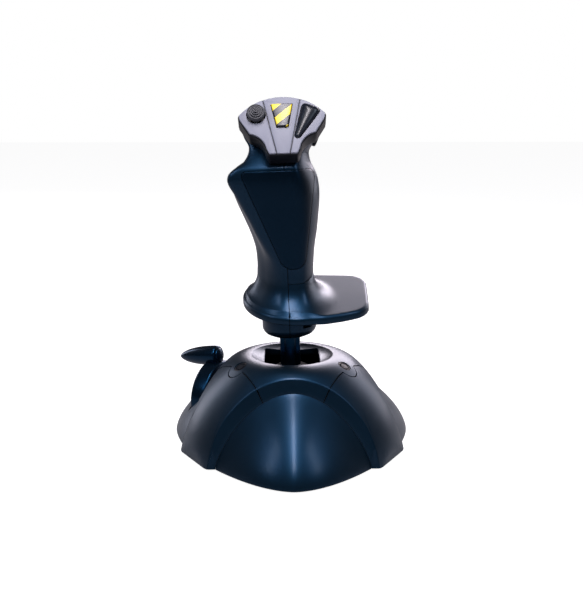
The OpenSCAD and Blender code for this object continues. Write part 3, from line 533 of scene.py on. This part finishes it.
def dish_column(a):
    """Points of one column from the opening's edge across the dish to its rim, at azimuth a."""
    inner = opening_radius(a)
    first = inner + 0.5
    radii = first + (DISH_R - DISH_EDGE - first) * np.linspace(0, 1, DISH_ROWS)
    rise = np.clip((radii - DISH_FLAT) / (DISH_R - DISH_EDGE - DISH_FLAT), 0, 1) ** 2
    heights = RIM_Z - DISH_DROP + (DISH_DROP - DISH_RISE) * rise
    column = [(inner, RIM_Z - 6), (inner, heights[0] - 0.5), (inner + 0.15, heights[0] - 0.12)]
    column += list(zip(radii, heights))
    column += [(DISH_R - 0.1, RIM_Z - 0.06), (DISH_R + 0.3, RIM_Z)]
    return [(r * math.cos(a), r * math.sin(a), z) for r, z in column]


def base_grid():
    """The hub cap and legs as one grid: columns round the axis, rows from the opening outwards.

    With it come each column's azimuth off its lobe and the number of rows on the dish.
    """
    half = base_columns()
    outer, dish, offs = [], [], []
    for lobe in LOBES:
        for off in np.concatenate([-half[::-1], half[1:-1]]):
            column = base_column(abs(off))
            if off < 0:
                column = column * [-1, 1, 1]
            outer.append(turn_z(column, lobe))
            dish.append(dish_column(math.radians(lobe - 90) + off))
            offs.append(off)
    outer, dish = np.stack(outer, axis=1), np.stack(dish, axis=1)
    return np.concatenate([dish, outer], axis=0), np.array(offs), len(dish)


grid, column_off, dish_rows = base_grid()
for angle in LEGS:
    direction = turn_z([[0, -1, 0]], angle)[0]
    beyond = np.maximum(grid @ direction - LEG_FACE, 0)
    grid = grid - beyond[..., None] * direction
rows, cols = grid.shape[:2]
per_lobe = cols // len(LOBES)
seam_bottom = dish_rows + CAP_ROWS + 1      # row after which the seam's bottom comes
PLUG_TILT = math.asin((PLUG_D - SHOULDER_C[0]) / SHOULDER_R)


def at_plug(angle):
    """Frame of a screw plug, with Z along the dome's outward normal."""
    origin = np.array([0, -PLUG_D, SHOULDER_C[1] + SHOULDER_R * math.cos(PLUG_TILT)])
    return lambda points: turn_z(turn_x(points, PLUG_TILT) + origin, angle)


def piece_at(r, c):
    """The name of the CAD node whose surface the face after row r and column c is on."""
    between_lobes = (c + 1) % per_lobe == 0
    off = math.pi / 3 if between_lobes else abs(column_off[c] + column_off[c + 1]) / 2
    if r < seam_bottom or off <= SEAM_AT:
        return "hub_cap"
    turn = 60 if column_off[c] >= 0 else -60
    return LEG_NAMES[(LOBES[c // per_lobe] + turn) % 360]


def in_groove(r, c):
    """Whether the face after row r and column c is the bottom of the seam between cap and leg,
    painted matt black as shade.
    """
    if r == seam_bottom:
        return abs(column_off[c]) > SEAM_AT - 0.002
    middle = (abs(column_off[c]) + abs(column_off[(c + 1) % cols])) / 2
    return r >= rows - BAND_ROWS and abs(middle - SEAM_AT) < math.radians(0.2)


LEG_NAMES = {60: "leg_right", 180: "leg_rear", 300: "leg_left"}
PLUG_HOLE = [(ON_AXIS, -3), (PLUG_R, -3), (PLUG_R, -0.35), (PLUG_R + 0.5, 1), (PLUG_R + 0.5, 8),
             (ON_AXIS, 8)]
SCREW_PLUG = [(ON_AXIS, -3), (PLUG_R - 0.1, -3), (PLUG_R - 0.1, -0.9), (PLUG_R - 0.5, -0.55),
              (3.3, -0.55), (3.0, -1.3), (2.7, -1.3), (2.5, -0.45), (ON_AXIS, -0.35)]
parts = {"hub_cap": [], "leg_left": [], "leg_right": [], "leg_rear": []}
for face in grid_faces(rows, cols, wrap=True):
    parts[piece_at(*divmod(face[0], cols))].append(face)
for name, members in parts.items():
    # The seam's bottom faces are painted matt black: painted shade in the seam between cap and leg.
    seams = [i for i, face in enumerate(members) if in_groove(*divmod(face[0], cols))]
    piece = mesh_object(name + "_moulding", grid.reshape(-1, 3), members, NAVY, painted_shade=seams)
    thicken(piece)
    if name == "hub_cap":
        for angle in LEGS:
            carve(piece, lathe("plug_hole", PLUG_HOLE, NAVY, at_plug(angle), 64))
    add(piece, "base", "satin_navy", name)

for angle in LEGS:
    plug = lathe(f"screw_plug_{angle}", SCREW_PLUG, BLACK, at_plug(angle), 64)
    add(plug, "base", "satin_black", *(["screw_plugs"] if angle == LEGS[0] else []))

LOBE_GAP = 0.12                        # between a lobe and its arch
FLANGE_BACK, FLANGE_W = 3.4, 2.2       # the flange of a lobe that lies behind the arch band
LOBE_RISE, LOBE_NOSE, LOBE_SIDE = 1.4, 1.1, 1.7      # exponents of a lobe's bulge


def lobe_grid():
    """Outer surface of a lobe's dome with its flange, as rows up and columns across."""
    width, top, reach = ARCH_W - LOBE_GAP, ARCH_H - LOBE_GAP, LOBE_R - LOBE_GAP
    t = np.sin(np.linspace(-1, 1, 91) * math.pi / 2)
    grid = []
    for v in np.linspace(0, 1, 70):
        z = (top - 0.04) * math.sin(v * math.pi / 2)
        q = z / top
        half = width * (1 - q ** (1 / ARCH_CROWN)) ** (1 / ARCH_SIDE)
        back = arch_plane(z)
        bulge = (reach - back) * (1 - q ** LOBE_RISE) ** LOBE_NOSE
        row = np.column_stack([half * t, -(back + bulge * (1 - np.abs(t) ** LOBE_SIDE)),
                               np.full(len(t), z)])
        ends = []
        for end in (row[0], row[-1]):
            hidden = end + [0, FLANGE_BACK, 0]
            spread = 1 + FLANGE_W / math.hypot(end[0], end[2])
            ends.append((hidden, hidden * [spread, 1, spread]))
        grid.append(np.vstack([ends[0][1], ends[0][0], row, ends[1][0], ends[1][1]]))
    return np.array(grid)


WHEEL_IN, WHEEL_OUT, WHEEL_R, WHEEL_Z = 56.0, 68.0, 25.5, 22.0
KNOB_R, KNOB_L, KNOB_TILT, KNOB_FROM, KNOB_Z = 6.9, 35.0, math.radians(9), 58.0, 52.2
THROTTLE_LOBE = 240


def at_throttle(points):
    """Frame of the throttle: Z away from the stick along its lobe, Y up from the axle."""
    p = np.asarray(points, float)
    return turn_z(np.column_stack([p[:, 0], -p[:, 2], p[:, 1] + WHEEL_Z]), THROTTLE_LOBE)


def at_knob(points):
    """Frame of the knob: Z along it, from its flat end."""
    return at_throttle(turn_x(points, KNOB_TILT) + [0, KNOB_Z - WHEEL_Z, KNOB_FROM])


WHEEL_SLOT = [(ON_AXIS, WHEEL_IN - 1), (WHEEL_R + 1, WHEEL_IN - 1), (WHEEL_R + 1, WHEEL_OUT + 1),
              (ON_AXIS, WHEEL_OUT + 1)]
surface = lobe_grid()
for name, angle in zip(("dome_front", "dome_right", "dome_left"), LOBES):
    turned = turn_z(surface.reshape(-1, 3), angle).reshape(surface.shape)
    piece = grid_object(name + "_moulding", turned, NAVY)
    thicken(piece)
    if angle == THROTTLE_LOBE:
        carve(piece, lathe("slot", WHEEL_SLOT, NAVY, at_throttle, 128))
    add(piece, "base", "satin_navy", name)

# ---- Throttle -----------------------------------------------------------------------------------

RECESS = WHEEL_OUT - 4
WHEEL_BORE = 4.5
wheel_profile = np.vstack([
    [(WHEEL_BORE, WHEEL_IN), (12, WHEEL_IN), (20, WHEEL_IN)],
    arc((WHEEL_R - 1.6, WHEEL_IN + 1.6), 1.6, -90, 0, 6),
    arc((WHEEL_R - 2, WHEEL_OUT - 2), 2, 0, 90, 8),
    [(WHEEL_R - 5, WHEEL_OUT), (WHEEL_R - 5.6, WHEEL_OUT - 0.6), (WHEEL_R - 6.3, RECESS + 0.4),
     (WHEEL_R - 7, RECESS), (8.6, RECESS), (7.6, RECESS + 0.6), (WHEEL_BORE, WHEEL_OUT)]])
wheel = lathe("throttle_wheel_moulding", wheel_profile, GLOSS, at_throttle, 192, caps=())
closing = bmesh.new()
closing.from_mesh(wheel.data)
bmesh.ops.bridge_loops(closing, edges=[e for e in closing.edges if e.is_boundary])
closing.to_mesh(wheel.data)
closing.free()
lower_half = [(-60, -60), (60, -60), (60, -6), (-60, -6)]
carve(wheel, prism("lower_half", lower_half, -10, 120, GLOSS, at_throttle, 0))
add(wheel, "throttle", "gloss_black", "throttle_wheel")

LEVER_W, LEVER_IN, LEVER_OUT = 3, WHEEL_IN + 3.8, WHEEL_IN + 10.8
lever_outline = [(-LEVER_W, 0), (LEVER_W, 0), (LEVER_W, KNOB_Z - WHEEL_Z),
                 (-LEVER_W, KNOB_Z - WHEEL_Z)]
lever = prism("throttle_lever_moulding", lever_outline, LEVER_IN, LEVER_OUT, GLOSS, at_throttle,
              0.6)
add(lever, "throttle", "gloss_black", "throttle_lever")

KNOB_STRAIGHT = 7         # the knob's length before it tapers
taper = np.sin(np.linspace(0, 1, 40) * math.pi / 2)
bullet = np.vstack([
    [(ON_AXIS, 1.2), (KNOB_R - 3.4, 1.25)],
    arc((KNOB_R - 2, 3.2), 2, -90, 0, 8),
    np.column_stack([KNOB_R * (1 - taper ** 2.2) ** 0.6 + ON_AXIS,
                     KNOB_STRAIGHT + (KNOB_L - KNOB_STRAIGHT) * taper])])
knob = lathe("throttle_knob_moulding", bullet, GLOSS, at_knob, 96)
add(knob, "throttle", "gloss_black", "throttle_knob")
CAP = [(ON_AXIS, -0.6), (2.2, -0.5), (3.6, -0.2), (4.5, 0.35), (4.9, 0.8), (4.9, 1.15),
       (ON_AXIS, 1.15)]
cap = lathe("knob_end_cap", CAP, GLOSS, at_knob, 64)
add(cap, "throttle", "gloss_black", "knob_cap")

# ---- Grip, in the stick's own frame -------------------------------------------------------------

# Height, then left, right, crease, front and back
STATIONS = np.array([
    [110, -21.2, 17.6, -7.0, -19.5, 21], [119, -20.1, 17.3, -7.2, -19, 21],
    [128, -20.0, 17.9, -8.8, -19.5, 21.5], [137, -20.9, 18.9, -12.9, -20.5, 22],
    [146, -23.5, 20.5, -17.1, -21.5, 23], [155, -27.0, 21.6, -20.8, -22.5, 24],
    [164, -30.6, 22.5, -25.0, -23.5, 25], [173, -33.5, 22.8, -29.2, -24.6, 25.5],
    [181, -34.8, 21.9, -33.4, -25.3, 25.5], [186, -33.6, 20.2, -33.2, -25.3, 25],
    [189.5, -30.2, 18.4, -29.9, -25, 24.5], [193, -24.8, 17.2, -24.4, -24.3, 24],
    [198, -21.3, 16.9, -21.2, -22.6, 23], [203, -20.6, 20.0, -20.4, -19, 22],
    [208, -23.0, 23.6, -22.8, -15.6, 20.5], [214, -24.6, 25.0, -24.4, -12, 17.5],
    [220, -22.5, 23.0, -22.2, -8.5, 12.5], [225, -16.0, 16.5, -15.8, -5, 6.5],
    [227, -9.0, 9.5, -8.8, -2.5, 2]])
HEAD_D, TILT = 13.0, math.radians(HEAD_TILT)
STEPS = 14            # points from one guide point of the grip's outline to the next


def spline(a, b, c, d, t):
    """Point a share t of the way from b to c, on a smooth curve that runs through a and d too."""
    return 0.5 * (2 * b + (c - a) * t + (2 * a - 5 * b + 4 * c - d) * t * t
                  + (3 * b - a - 3 * c + d) * t ** 3)


def grip_at(z):
    """Left, right, crease, front and back of the grip at height z."""
    heights = STATIONS[:, 0]
    last = len(STATIONS) - 1
    i = int(np.clip(np.searchsorted(heights, z, "right") - 1, 0, last - 1))
    t = (z - heights[i]) / (heights[i + 1] - heights[i])
    return spline(STATIONS[max(i - 1, 0)], STATIONS[i], STATIONS[i + 1],
                  STATIONS[min(i + 2, last)], t)[1:]


def behind_head(z):
    """How far forward the grip may reach at height z, just behind the tilted head."""
    return HEAD[1] + (HEAD_D + (z - HEAD[2]) * math.sin(TILT)) / math.cos(TILT) + 0.4


def grip_ring(z):
    """Outline of the grip at height z, from the front seam round by the right, in plan."""
    left, right, crease, front, back = grip_at(z)
    front = max(front, behind_head(z))
    w, d = right - left, back - front
    guide = np.array([
        [0, front - 0.008 * d], [right - 0.16 * w, front + 0.065 * d], [right, front + 0.46 * d],
        [right - 0.1 * w, front + 0.85 * d], [0, back], [left + 0.12 * w, front + 0.85 * d],
        [left, front + 0.54 * d], [left + 0.45 * (crease - left), front + 0.25 * d],
        [crease, front + 0.055 * d]])
    n = len(guide)
    return np.array([spline(guide[i - 1], guide[i], guide[(i + 1) % n], guide[(i + 2) % n],
                            j / STEPS) for i in range(n) for j in range(STEPS)])


BACK_POINT, CREASE_POINT = 4 * STEPS, 8 * STEPS     # points of a ring


def half_ring(z, side):
    """The right half of the ring at height z for a side of 1, and the left half for -1."""
    ring = grip_ring(z)
    if side > 0:
        half = ring[:BACK_POINT + 1]
    else:
        half = np.concatenate([ring[BACK_POINT:], ring[:1]])
    half[0, 0] = half[-1, 0] = 0
    return half


REST_C, REST_L, REST_RIM = (4.7, 5.0), 35.5, 5.6
FILLET_W, FILLET_H, COLLAR_R = 17.0, 17.5, 18.2
UNDER_ROUND, TOP_ROUND = 1.2, 2.2
COLLAR = [(12.4, 75.4), (15.6, 76.9), (17.2, 78.6), (COLLAR_R - 0.2, 80.2), (COLLAR_R, 81.2),
          (COLLAR_R, 86), (COLLAR_R, 92)]
REST_EDGE = np.vstack([arc(REST_C, REST_L, 100, 285, 72), [[24, -28.4], [36, -24.6], [45, -20.4]],
                       arc((48.6, -13.4), 4.6, -60, 0, 12), [[54.2, 8]],
                       arc((48.4, 31), 6.6, 4, 90, 12), [[30, 38.6], [14, 39.6]]])
GRIP_FROM, GRIP_FULL = 118, 126      # heights where the fillet ends and the grip's own shape starts


def rest_plane(p):
    """Height of the hand rest's top at points in plan."""
    return 100.4 + 0.215 * p[..., 1] - 0.035 * p[..., 0]


def edge_towards(a):
    """Distance from the axis to the hand rest's outline towards angle a."""
    d = np.array([math.cos(a), math.sin(a)])
    p, e = REST_EDGE, np.roll(REST_EDGE, -1, axis=0) - REST_EDGE
    det = d[0] * e[:, 1] - d[1] * e[:, 0]
    det = np.where(np.abs(det) < 1e-9, 1e-9, det)
    t = (p[:, 0] * e[:, 1] - p[:, 1] * e[:, 0]) / det
    u = (p[:, 0] * d[1] - p[:, 1] * d[0]) / det
    return max(t[(t > 0) & (u >= -1e-6) & (u <= 1 + 1e-6)])


def lift(plan, z):
    """Points in plan taken to height z, one for all or one for each."""
    return np.column_stack([plan, np.broadcast_to(z, len(plan))])


def foot_rings(side):
    """Rings from the collar's foot, out under the hand rest, round its rim and up to the grip."""
    inner = half_ring(GRIP_FROM, side)
    reach = np.array([edge_towards(a) for a in np.arctan2(inner[:, 1], inner[:, 0])])
    smooth = reach.copy()
    for _ in range(6):
        smooth[1:-1] = 0.25 * smooth[:-2] + 0.5 * smooth[1:-1] + 0.25 * smooth[2:]
    unit = inner / np.linalg.norm(inner, axis=1)[:, None]
    edge = unit * np.minimum(reach, smooth + 0.3)[:, None]

    rings = [lift(unit * r, z) for r, z in COLLAR]
    length = np.linalg.norm(edge, axis=1) - COLLAR_R
    for q in (0, 0.35, 0.7, 1):
        plan = unit * (COLLAR_R + (length - UNDER_ROUND) * q)[:, None]
        rings.append(lift(plan, rest_plane(plan) - REST_RIM - 1 + q))
    for a in np.radians([20, 45, 70, 90]):
        plan = edge - unit * UNDER_ROUND * (1 - math.sin(a))
        rings.append(lift(plan, rest_plane(plan) - REST_RIM + UNDER_ROUND * (1 - math.cos(a))))
    for a in np.radians([0, 20, 40, 60, 80]):
        plan = edge - unit * TOP_ROUND * (1 - math.cos(a))
        rings.append(lift(plan, rest_plane(plan) - TOP_ROUND + TOP_ROUND * math.sin(a)))
    rim = edge - unit * (TOP_ROUND + 0.4)
    for u in np.concatenate([np.linspace(1, 0.45, 12), np.linspace(0.42, 0, 24)]):
        plan = inner + (rim - inner) * u
        q = np.minimum(1, np.linalg.norm(plan - inner, axis=1) / FILLET_W)
        rings.append(lift(plan, rest_plane(plan) + FILLET_H * (1 - np.sqrt(1 - (1 - q) ** 2))))
    return rings


SEAM_SINK, SEAM_HALF = 0.5, 0.22


def grooved(rings):
    """Rings whose two seams are sunk, with a column close beside each, for a fine groove painted as
    shade.
    """
    def near(end, beyond):
        step = beyond - end
        return end + step * min(0.5, SEAM_HALF / (np.linalg.norm(step) + 1e-9))

    out = []
    for ring in rings:
        first, last = ring[0], ring[-1]
        inward = np.array([0, SEAM_SINK if first[1] < last[1] else -SEAM_SINK, 0])
        out.append(np.vstack([[first + inward], [near(first, ring[1])], ring[1:-1],
                              [near(last, ring[-2])], [last - inward]]))
    return out


def half_solid(name, rings, material):
    """Closed solid from half rings: ends, and a flat face on the plane between the halves."""
    grid = np.array(rings)
    rows, cols = grid.shape[:2]
    down, up = range(rows), range(rows - 1, -1, -1)
    faces = grid_faces(rows, cols)
    faces.append(tuple(range(cols)))
    faces.append(tuple(range((rows - 1) * cols, rows * cols)))
    faces.append(tuple(r * cols for r in down) + tuple(r * cols + cols - 1 for r in up))
    # The sunk seam faces are painted matt black: painted shade in the seam between mouldings.
    seams = [r * (cols - 1) + c for r in range(rows - 1) for c in (0, cols - 2)]
    return mesh_object(name, leaned(grid.reshape(-1, 3)), faces, material, painted_shade=seams)


LEVELS = np.concatenate([np.arange(119.5, 224, 1.1), [224.2, 225.2, 226, 226.6, 227]])
LEVELS = LEVELS[LEVELS > GRIP_FULL + 0.5]


def blend_rings(top, side):
    """Rings from the fillet's tilted top ring to the level one where the grip's shape starts."""
    rings = []
    for q in np.linspace(0, 1, 8)[1:]:
        z = top[:, 2] + (GRIP_FULL - top[:, 2]) * q
        plan = np.array([half_ring(level, side)[i] for i, level in enumerate(z)])
        rings.append(lift(top[:, :2] + (plan - top[:, :2]) * min(1, q * 2), z))
    return rings


def seam_rings(ring):
    """The ring's lower lip, the groove's two edges drawn in behind it, and the upper lip."""
    drawn_in = ring.copy()
    drawn_in[:, :2] += (ring[:, :2].mean(axis=0) - ring[:, :2]) * 0.03
    return (ring - [0, 0, 0.25], drawn_in - [0, 0, 0.05],
            drawn_in + [0, 0, 0.05], ring + [0, 0, 0.25])


shells = {}
for side, name in ((-1, "grip_left_shell"), (1, "grip_right_shell")):
    foot = foot_rings(side)
    upper = blend_rings(foot[-1], side) + [lift(half_ring(z, side), z) for z in LEVELS]
    if side < 0:
        lower = foot
    else:
        low_lip, low_edge, high_edge, high_lip = seam_rings(foot[-1])
        shells["hand_rest"] = half_solid("hand_rest_moulding",
                                         grooved(foot[:-1] + [low_lip, low_edge]), NAVY)
        lower = [high_edge, high_lip]
    shells[name] = half_solid(name + "_moulding", grooved(lower + upper), NAVY)

INSERT_Z, INSERT_T = (123.6, 188.2), 1.3
POCKET_GAP = 0.28
INSERT_ROUND, ROUND_W = 0.35, 0.7       # depth and width of the rounding at the insert's edge


def corner(d, r):
    """How far a corner of radius r holds the outline back at a distance d from its side."""
    return r - math.sqrt(max(0, r * r - (r - d) ** 2)) if d < r else 0


def insert_edges(z, grow):
    """The insert's left and right edge at height z, with its outline grown."""
    top, low, h = INSERT_Z[1] + grow - z, z - INSERT_Z[0] + grow, z - INSERT_Z[0]
    return (-2.4 - grow - 0.405 * h + corner(top, 5) + corner(low, 5.5),
            11.6 + grow + 0.135 * h - corner(top, 6.5) - corner(low, 6.5))


def front_y(z, xs):
    """Y of the grip's front at height z, at each of xs."""
    ring = grip_ring(z)
    front = np.concatenate([ring[CREASE_POINT:], ring[:3 * STEPS + 1]])
    front = front[np.argmin(front[:, 0]):np.argmax(front[:, 0]) + 1]
    return np.interp(xs, front[:, 0], front[:, 1])


def eased(n):
    """Shares from 0 to 1, closer together at both ends."""
    return (1 - np.cos(np.linspace(0, math.pi, n))) / 2


def insert_solid(name, grow, out, deep, material, edge_round=0.0):
    """Patch on the grip's front between the insert's edges.

    It runs from out in front of the surface to deep inside it.
    """
    bottom, top = INSERT_Z[0] - grow, INSERT_Z[1] + grow
    outer, inner = [], []
    for z in bottom + (top - bottom) * eased(60):
        left, right = insert_edges(min(max(z, bottom + 0.03), top - 0.03), grow)
        xs = left + (right - left) * eased(36)
        ys = front_y(z, xs)
        rim = np.minimum(np.minimum(xs - left, right - xs), min(z - bottom, top - z))
        fall = edge_round * (1 - np.sqrt(1 - (1 - np.clip(rim / ROUND_W, 0, 1)) ** 2))
        outer.append(np.column_stack([xs, ys - out + fall, np.full(len(xs), z)]))
        inner.append(np.column_stack([xs, ys + deep, np.full(len(xs), z)]))
    outer, inner = np.array(outer), np.array(inner)
    rows, cols = outer.shape[:2]
    n = rows * cols
    faces = grid_faces(rows, cols)
    faces += [tuple(n + i for i in reversed(f)) for f in faces]
    loop = [*range(cols), *range(2 * cols - 1, n, cols), *range(n - 2, n - cols - 1, -1),
            *range(n - 2 * cols, 0, -cols)]
    faces += [(a, b, n + b, n + a) for a, b in zip(loop, loop[1:] + loop[:1])]
    points = np.vstack([outer.reshape(-1, 3), inner.reshape(-1, 3)])
    return mesh_object(name, leaned(points), faces, material)


def block(low, high):
    """A box in the stick's frame to cut with, from its low corner to its high one."""
    (x0, y0, z0), (x1, y1, z1) = low, high
    outline = [(x0, y0), (x1, y0), (x1, y1), (x0, y1)]
    return prism("cutter", outline, z0, z1, NAVY, leaned, 0)


SIDE_AT, SIDE_TURN = np.array([20.2, 3, 206.5]), math.radians(112)
SIDE_HOLE = [(ON_AXIS, -10), (5.8, -10), (5.8, 12), (ON_AXIS, 12)]
SIDE_BUTTON = [(ON_AXIS, -4), (5.5, -4), (5.5, 2.0), (5.35, 2.5), (5.0, 2.85), (4.4, 3.0),
               (3.6, 2.9), (ON_AXIS, 2.3)]
TRIGGER_SLOT = (-6, 8, 174), (6, 48, 208)
LATCH_WINDOW = (9, -22.2, 82.6), (17, -10.2, 86.6)


def at_side(points):
    """Frame of the button on the right flank, with Z out of the grip."""
    return leaned(turn_y(points, SIDE_TURN) + SIDE_AT)


for name in ("grip_left_shell", "grip_right_shell"):
    carve(shells[name], insert_solid("pocket", POCKET_GAP, 3, INSERT_T + 0.1, NAVY))
    carve(shells[name], block(*TRIGGER_SLOT))
carve(shells["grip_right_shell"], lathe("side_space", SIDE_HOLE, NAVY, at_side, 64))
carve(shells["hand_rest"], block(*LATCH_WINDOW))
for name, piece in shells.items():
    add(piece, "stick", "satin_navy", name)
pad = insert_solid("palm_insert_pad", 0, 0, INSERT_T, INSERT, INSERT_ROUND)
add(pad, "stick", "satin_navy", "palm_insert")
side_button = lathe("side_button_moulding", SIDE_BUTTON, BUTTON, at_side, 64)
add(side_button, "side_key", "button_black", "side_button")

# ---- Head, in the panel's frame -----------------------------------------------------------------

PANEL_LOW, PANEL_TOP, FAN_LOW, FAN_HIGH = -19.8, 21.7, 4.05, 12.4
HAT_AT, HAT_D = (-16.3, 8.4), 11.4
HOLE_GAP = 0.45
WELL, PLATE_HOLE = -6.2, -4.4         # how deep the holes go in the housing and in the faceplates
PANEL_GAP, PANEL_INSET = 0.28, 0.7    # half the gap between two faceplates, and their frame
right_side = np.vstack([[[9.1, PANEL_LOW]], arc((23.1, -17.5), 12.2, 172, 100, 12), [[27.3, 5]],
                        arc((24.8, 7.6), 3, -20, 46, 8),
                        arc((0, PANEL_TOP - 36), 36, 44, 88, 20)])
OUTLINE = np.vstack([right_side, [[0, PANEL_TOP]], (right_side * [-1, 1])[::-1]])


def inset(outline, distance):
    """The outline moved inwards; it runs anticlockwise."""
    before, after = np.roll(outline, 1, axis=0), np.roll(outline, -1, axis=0)
    along = (after - outline) / (np.linalg.norm(after - outline, axis=1)[:, None] + 1e-9)
    along += (outline - before) / (np.linalg.norm(outline - before, axis=1)[:, None] + 1e-9)
    along /= np.linalg.norm(along, axis=1)[:, None]
    return outline + distance * np.column_stack([-along[:, 1], along[:, 0]])


def clip(outline, point, normal):
    """The part of an outline on the side of a line that normal points to."""
    side = (outline - point) @ np.asarray(normal, float)
    out = []
    for i in range(len(outline)):
        j = (i + 1) % len(outline)
        if side[i] >= 0:
            out.append(outline[i])
        if side[i] * side[j] < 0:
            out.append(outline[i] + (outline[j] - outline[i]) * side[i] / (side[i] - side[j]))
    return np.array(out)


def hazard_outline(g):
    """Outline of the striped button, grown by g."""
    return np.array([[-3.4 - g, -0.8 - g], [3.4 + g, -0.8 - g],
                     [6.7 + g, 15.2 + g], [-6.7 - g, 15.2 + g]])


CONE_FROM, CONE_TO = np.array([9.4, -7.2]), np.array([18.4, 12.0])
CONE_RUN = CONE_TO - CONE_FROM


def cone_outline(g):
    """Outline of the cone button, grown by g: a small round foot and two corners at the top."""
    a = math.degrees(math.atan2(CONE_RUN[1], CONE_RUN[0]))
    n = CONE_RUN / np.linalg.norm(CONE_RUN)
    m = np.array([-n[1], n[0]])
    end = CONE_TO - 0.8 * n
    spread, corner_off = 15, 3.6
    return np.vstack([arc(CONE_FROM, 1.8 + g, a + 90 + spread, a + 270 - spread, 14),
                      arc(end - corner_off * m, 2.2 + g, a - 90 - spread, a - 8, 8),
                      [end + (2.55 + g) * n],
                      arc(end + corner_off * m, 2.2 + g, a + 8, a + 90 + spread, 8)])


def hole_cutters(low):
    """Cutters for the three controls, from low to above the panel."""
    hat_ring = arc(HAT_AT, HAT_D / 2 + 0.5, 0, 360, 64)[:-1]
    outlines = (hat_ring, hazard_outline(HOLE_GAP), cone_outline(HOLE_GAP))
    return [prism("hole", outline, low, 5, PANEL_PAINTED_REFLECTION, on_head, 0) for outline in outlines]


housing = prism("head_housing_moulding", OUTLINE, -HEAD_D, -0.9, BLACK, on_head, 1.1, 4)
for cutter in hole_cutters(WELL):
    carve(housing, cutter)
add(housing, "stick", "satin_black", "head_housing")

slope = (FAN_HIGH - FAN_LOW) / (PANEL_TOP - PANEL_LOW)
across = np.array([1, -slope]) / math.hypot(1, slope)
plan = inset(OUTLINE, PANEL_INSET)
left_of = [FAN_LOW - PANEL_GAP, PANEL_LOW], -across
right_of = [PANEL_GAP - FAN_LOW, PANEL_LOW], across * [1, -1]
beyond_left = [-FAN_LOW - PANEL_GAP, PANEL_LOW], across * [-1, 1]
beyond_right = [FAN_LOW + PANEL_GAP, PANEL_LOW], across
# The faceplates take the lilac grey of the painted reflection.
for name, sides, rise in (("faceplate_left", [beyond_left], 0.25),
                          ("faceplate_centre", [left_of, right_of], 0.0),
                          ("faceplate_right", [beyond_right], 0.25)):
    plate = plan
    for point, normal in sides:
        plate = clip(plate, point, normal)
    piece = prism(name + "_moulding", plate, -1.6, rise, PANEL_PAINTED_REFLECTION, on_head, 0.45)
    for cutter in hole_cutters(PLATE_HOLE):
        carve(piece, cutter)
    add(piece, "stick", "panel_grey", name)


def at_hat(points):
    """Frame of the hat switch on the panel."""
    return on_head(np.asarray(points, float) + [*HAT_AT, 0])


profile = [(ON_AXIS, -0.6), (3.9, -0.6), (3.9, 1.3), (5.2, 1.35), (5.55, 1.6), (5.7, 2.2),
           (5.7, 3.4), (5.5, 3.9)]
for ridge in range(4):
    r, z = 5.2 - 1.25 * ridge, 4.0 + 0.5 * ridge
    profile += [(r, z), (r - 0.12, z + 0.40), (r - 0.50, z + 0.48), (r - 0.68, z + 0.10),
                (r - 1.1, z + 0.04)]
profile.append((ON_AXIS, 6.3))
hat = lathe("hat_cap_moulding", profile, HAT, at_hat, 96)
add(hat, "hat", "button_black", "hat_cap")

KEY_FOOT = -4.0
hazard = prism("hazard_button_moulding", hazard_outline(0), KEY_FOOT, 1.7, STRIPES, on_head, 0.6,
               4)
add(hazard, "hazard_key", "hazard_yellow", "hazard_button")

cone_edge = cone_outline(0)
share = np.clip((cone_edge - CONE_FROM) @ CONE_RUN / (CONE_RUN @ CONE_RUN), 0.04, 0.82)
spine = CONE_FROM + share[:, None] * CONE_RUN
cone_rings = [lift(cone_edge, KEY_FOOT)]
for a in np.radians(np.linspace(0, 88, 14)):
    cone_rings.append(lift(spine + (cone_edge - spine) * math.cos(a),
                           0.3 + (1.4 + 2.3 * share) * math.sin(a)))
cone_rings = np.array(cone_rings)
cone = grid_object("cone_button_moulding",
                   on_head(cone_rings.reshape(-1, 3)).reshape(cone_rings.shape),
                   BUTTON, wrap=True, caps=(0, -1))
add(cone, "cone_key", "button_black", "cone_button")

# ---- Parts shown as the CAD has them ------------------------------------------------------------

FINISH = {
    "rubber_feet": RUBBER, "cable_gland": RUBBER, "base_plate": BLACK, "gimbal_frame": BLACK,
    "throttle_bracket": BLACK, "dust_shield": MATT_BLACK_AND_SEAM_SHADE, "hat_post": BLACK, "trigger_bracket": BLACK,
    "trigger": BUTTON, "stick_shaft": GLOSS, "roll_pot": BLUE, "pitch_pot": BLUE,
    "throttle_pot": BLUE, "trigger_switch": BLUE, "main_pcb": GREEN, "head_pcb": GREEN}
replaced = {node for piece in bpy.data.objects for node in piece.get("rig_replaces", [])}
for name, node in frame["nodes"].items():
    if name not in replaced:
        node.data.materials.clear()
        node.data.materials.append(FINISH.get(name, STEEL))

FLOOR_HALF, FLOOR_Z, FLOOR_GLOW = 3000, -1.3, 0.93
paper = plastic("floor_paper", (0.40, 0.40, 0.40), 0.9, mottle=0.01)
floor = mesh_object("floor", [(FLOOR_HALF * x, FLOOR_HALF * y, FLOOR_Z)
                              for x, y in ((-1, -1), (1, -1), (1, 1), (-1, 1))],
                    [(0, 1, 2, 3)], paper)
glow = paper.node_tree
shader = glow.nodes["Principled BSDF"]
shader.inputs["Emission Color"].default_value = (1, 1, 1, 1)
seen = glow.nodes.new("ShaderNodeLightPath")
level = glow.nodes.new("ShaderNodeMath")
level.operation = "MULTIPLY"
level.inputs[1].default_value = FLOOR_GLOW
glow.links.new(seen.outputs["Is Camera Ray"], level.inputs[0])
glow.links.new(level.outputs["Value"], shader.inputs["Emission Strength"])

bpy.context.view_layer.update()
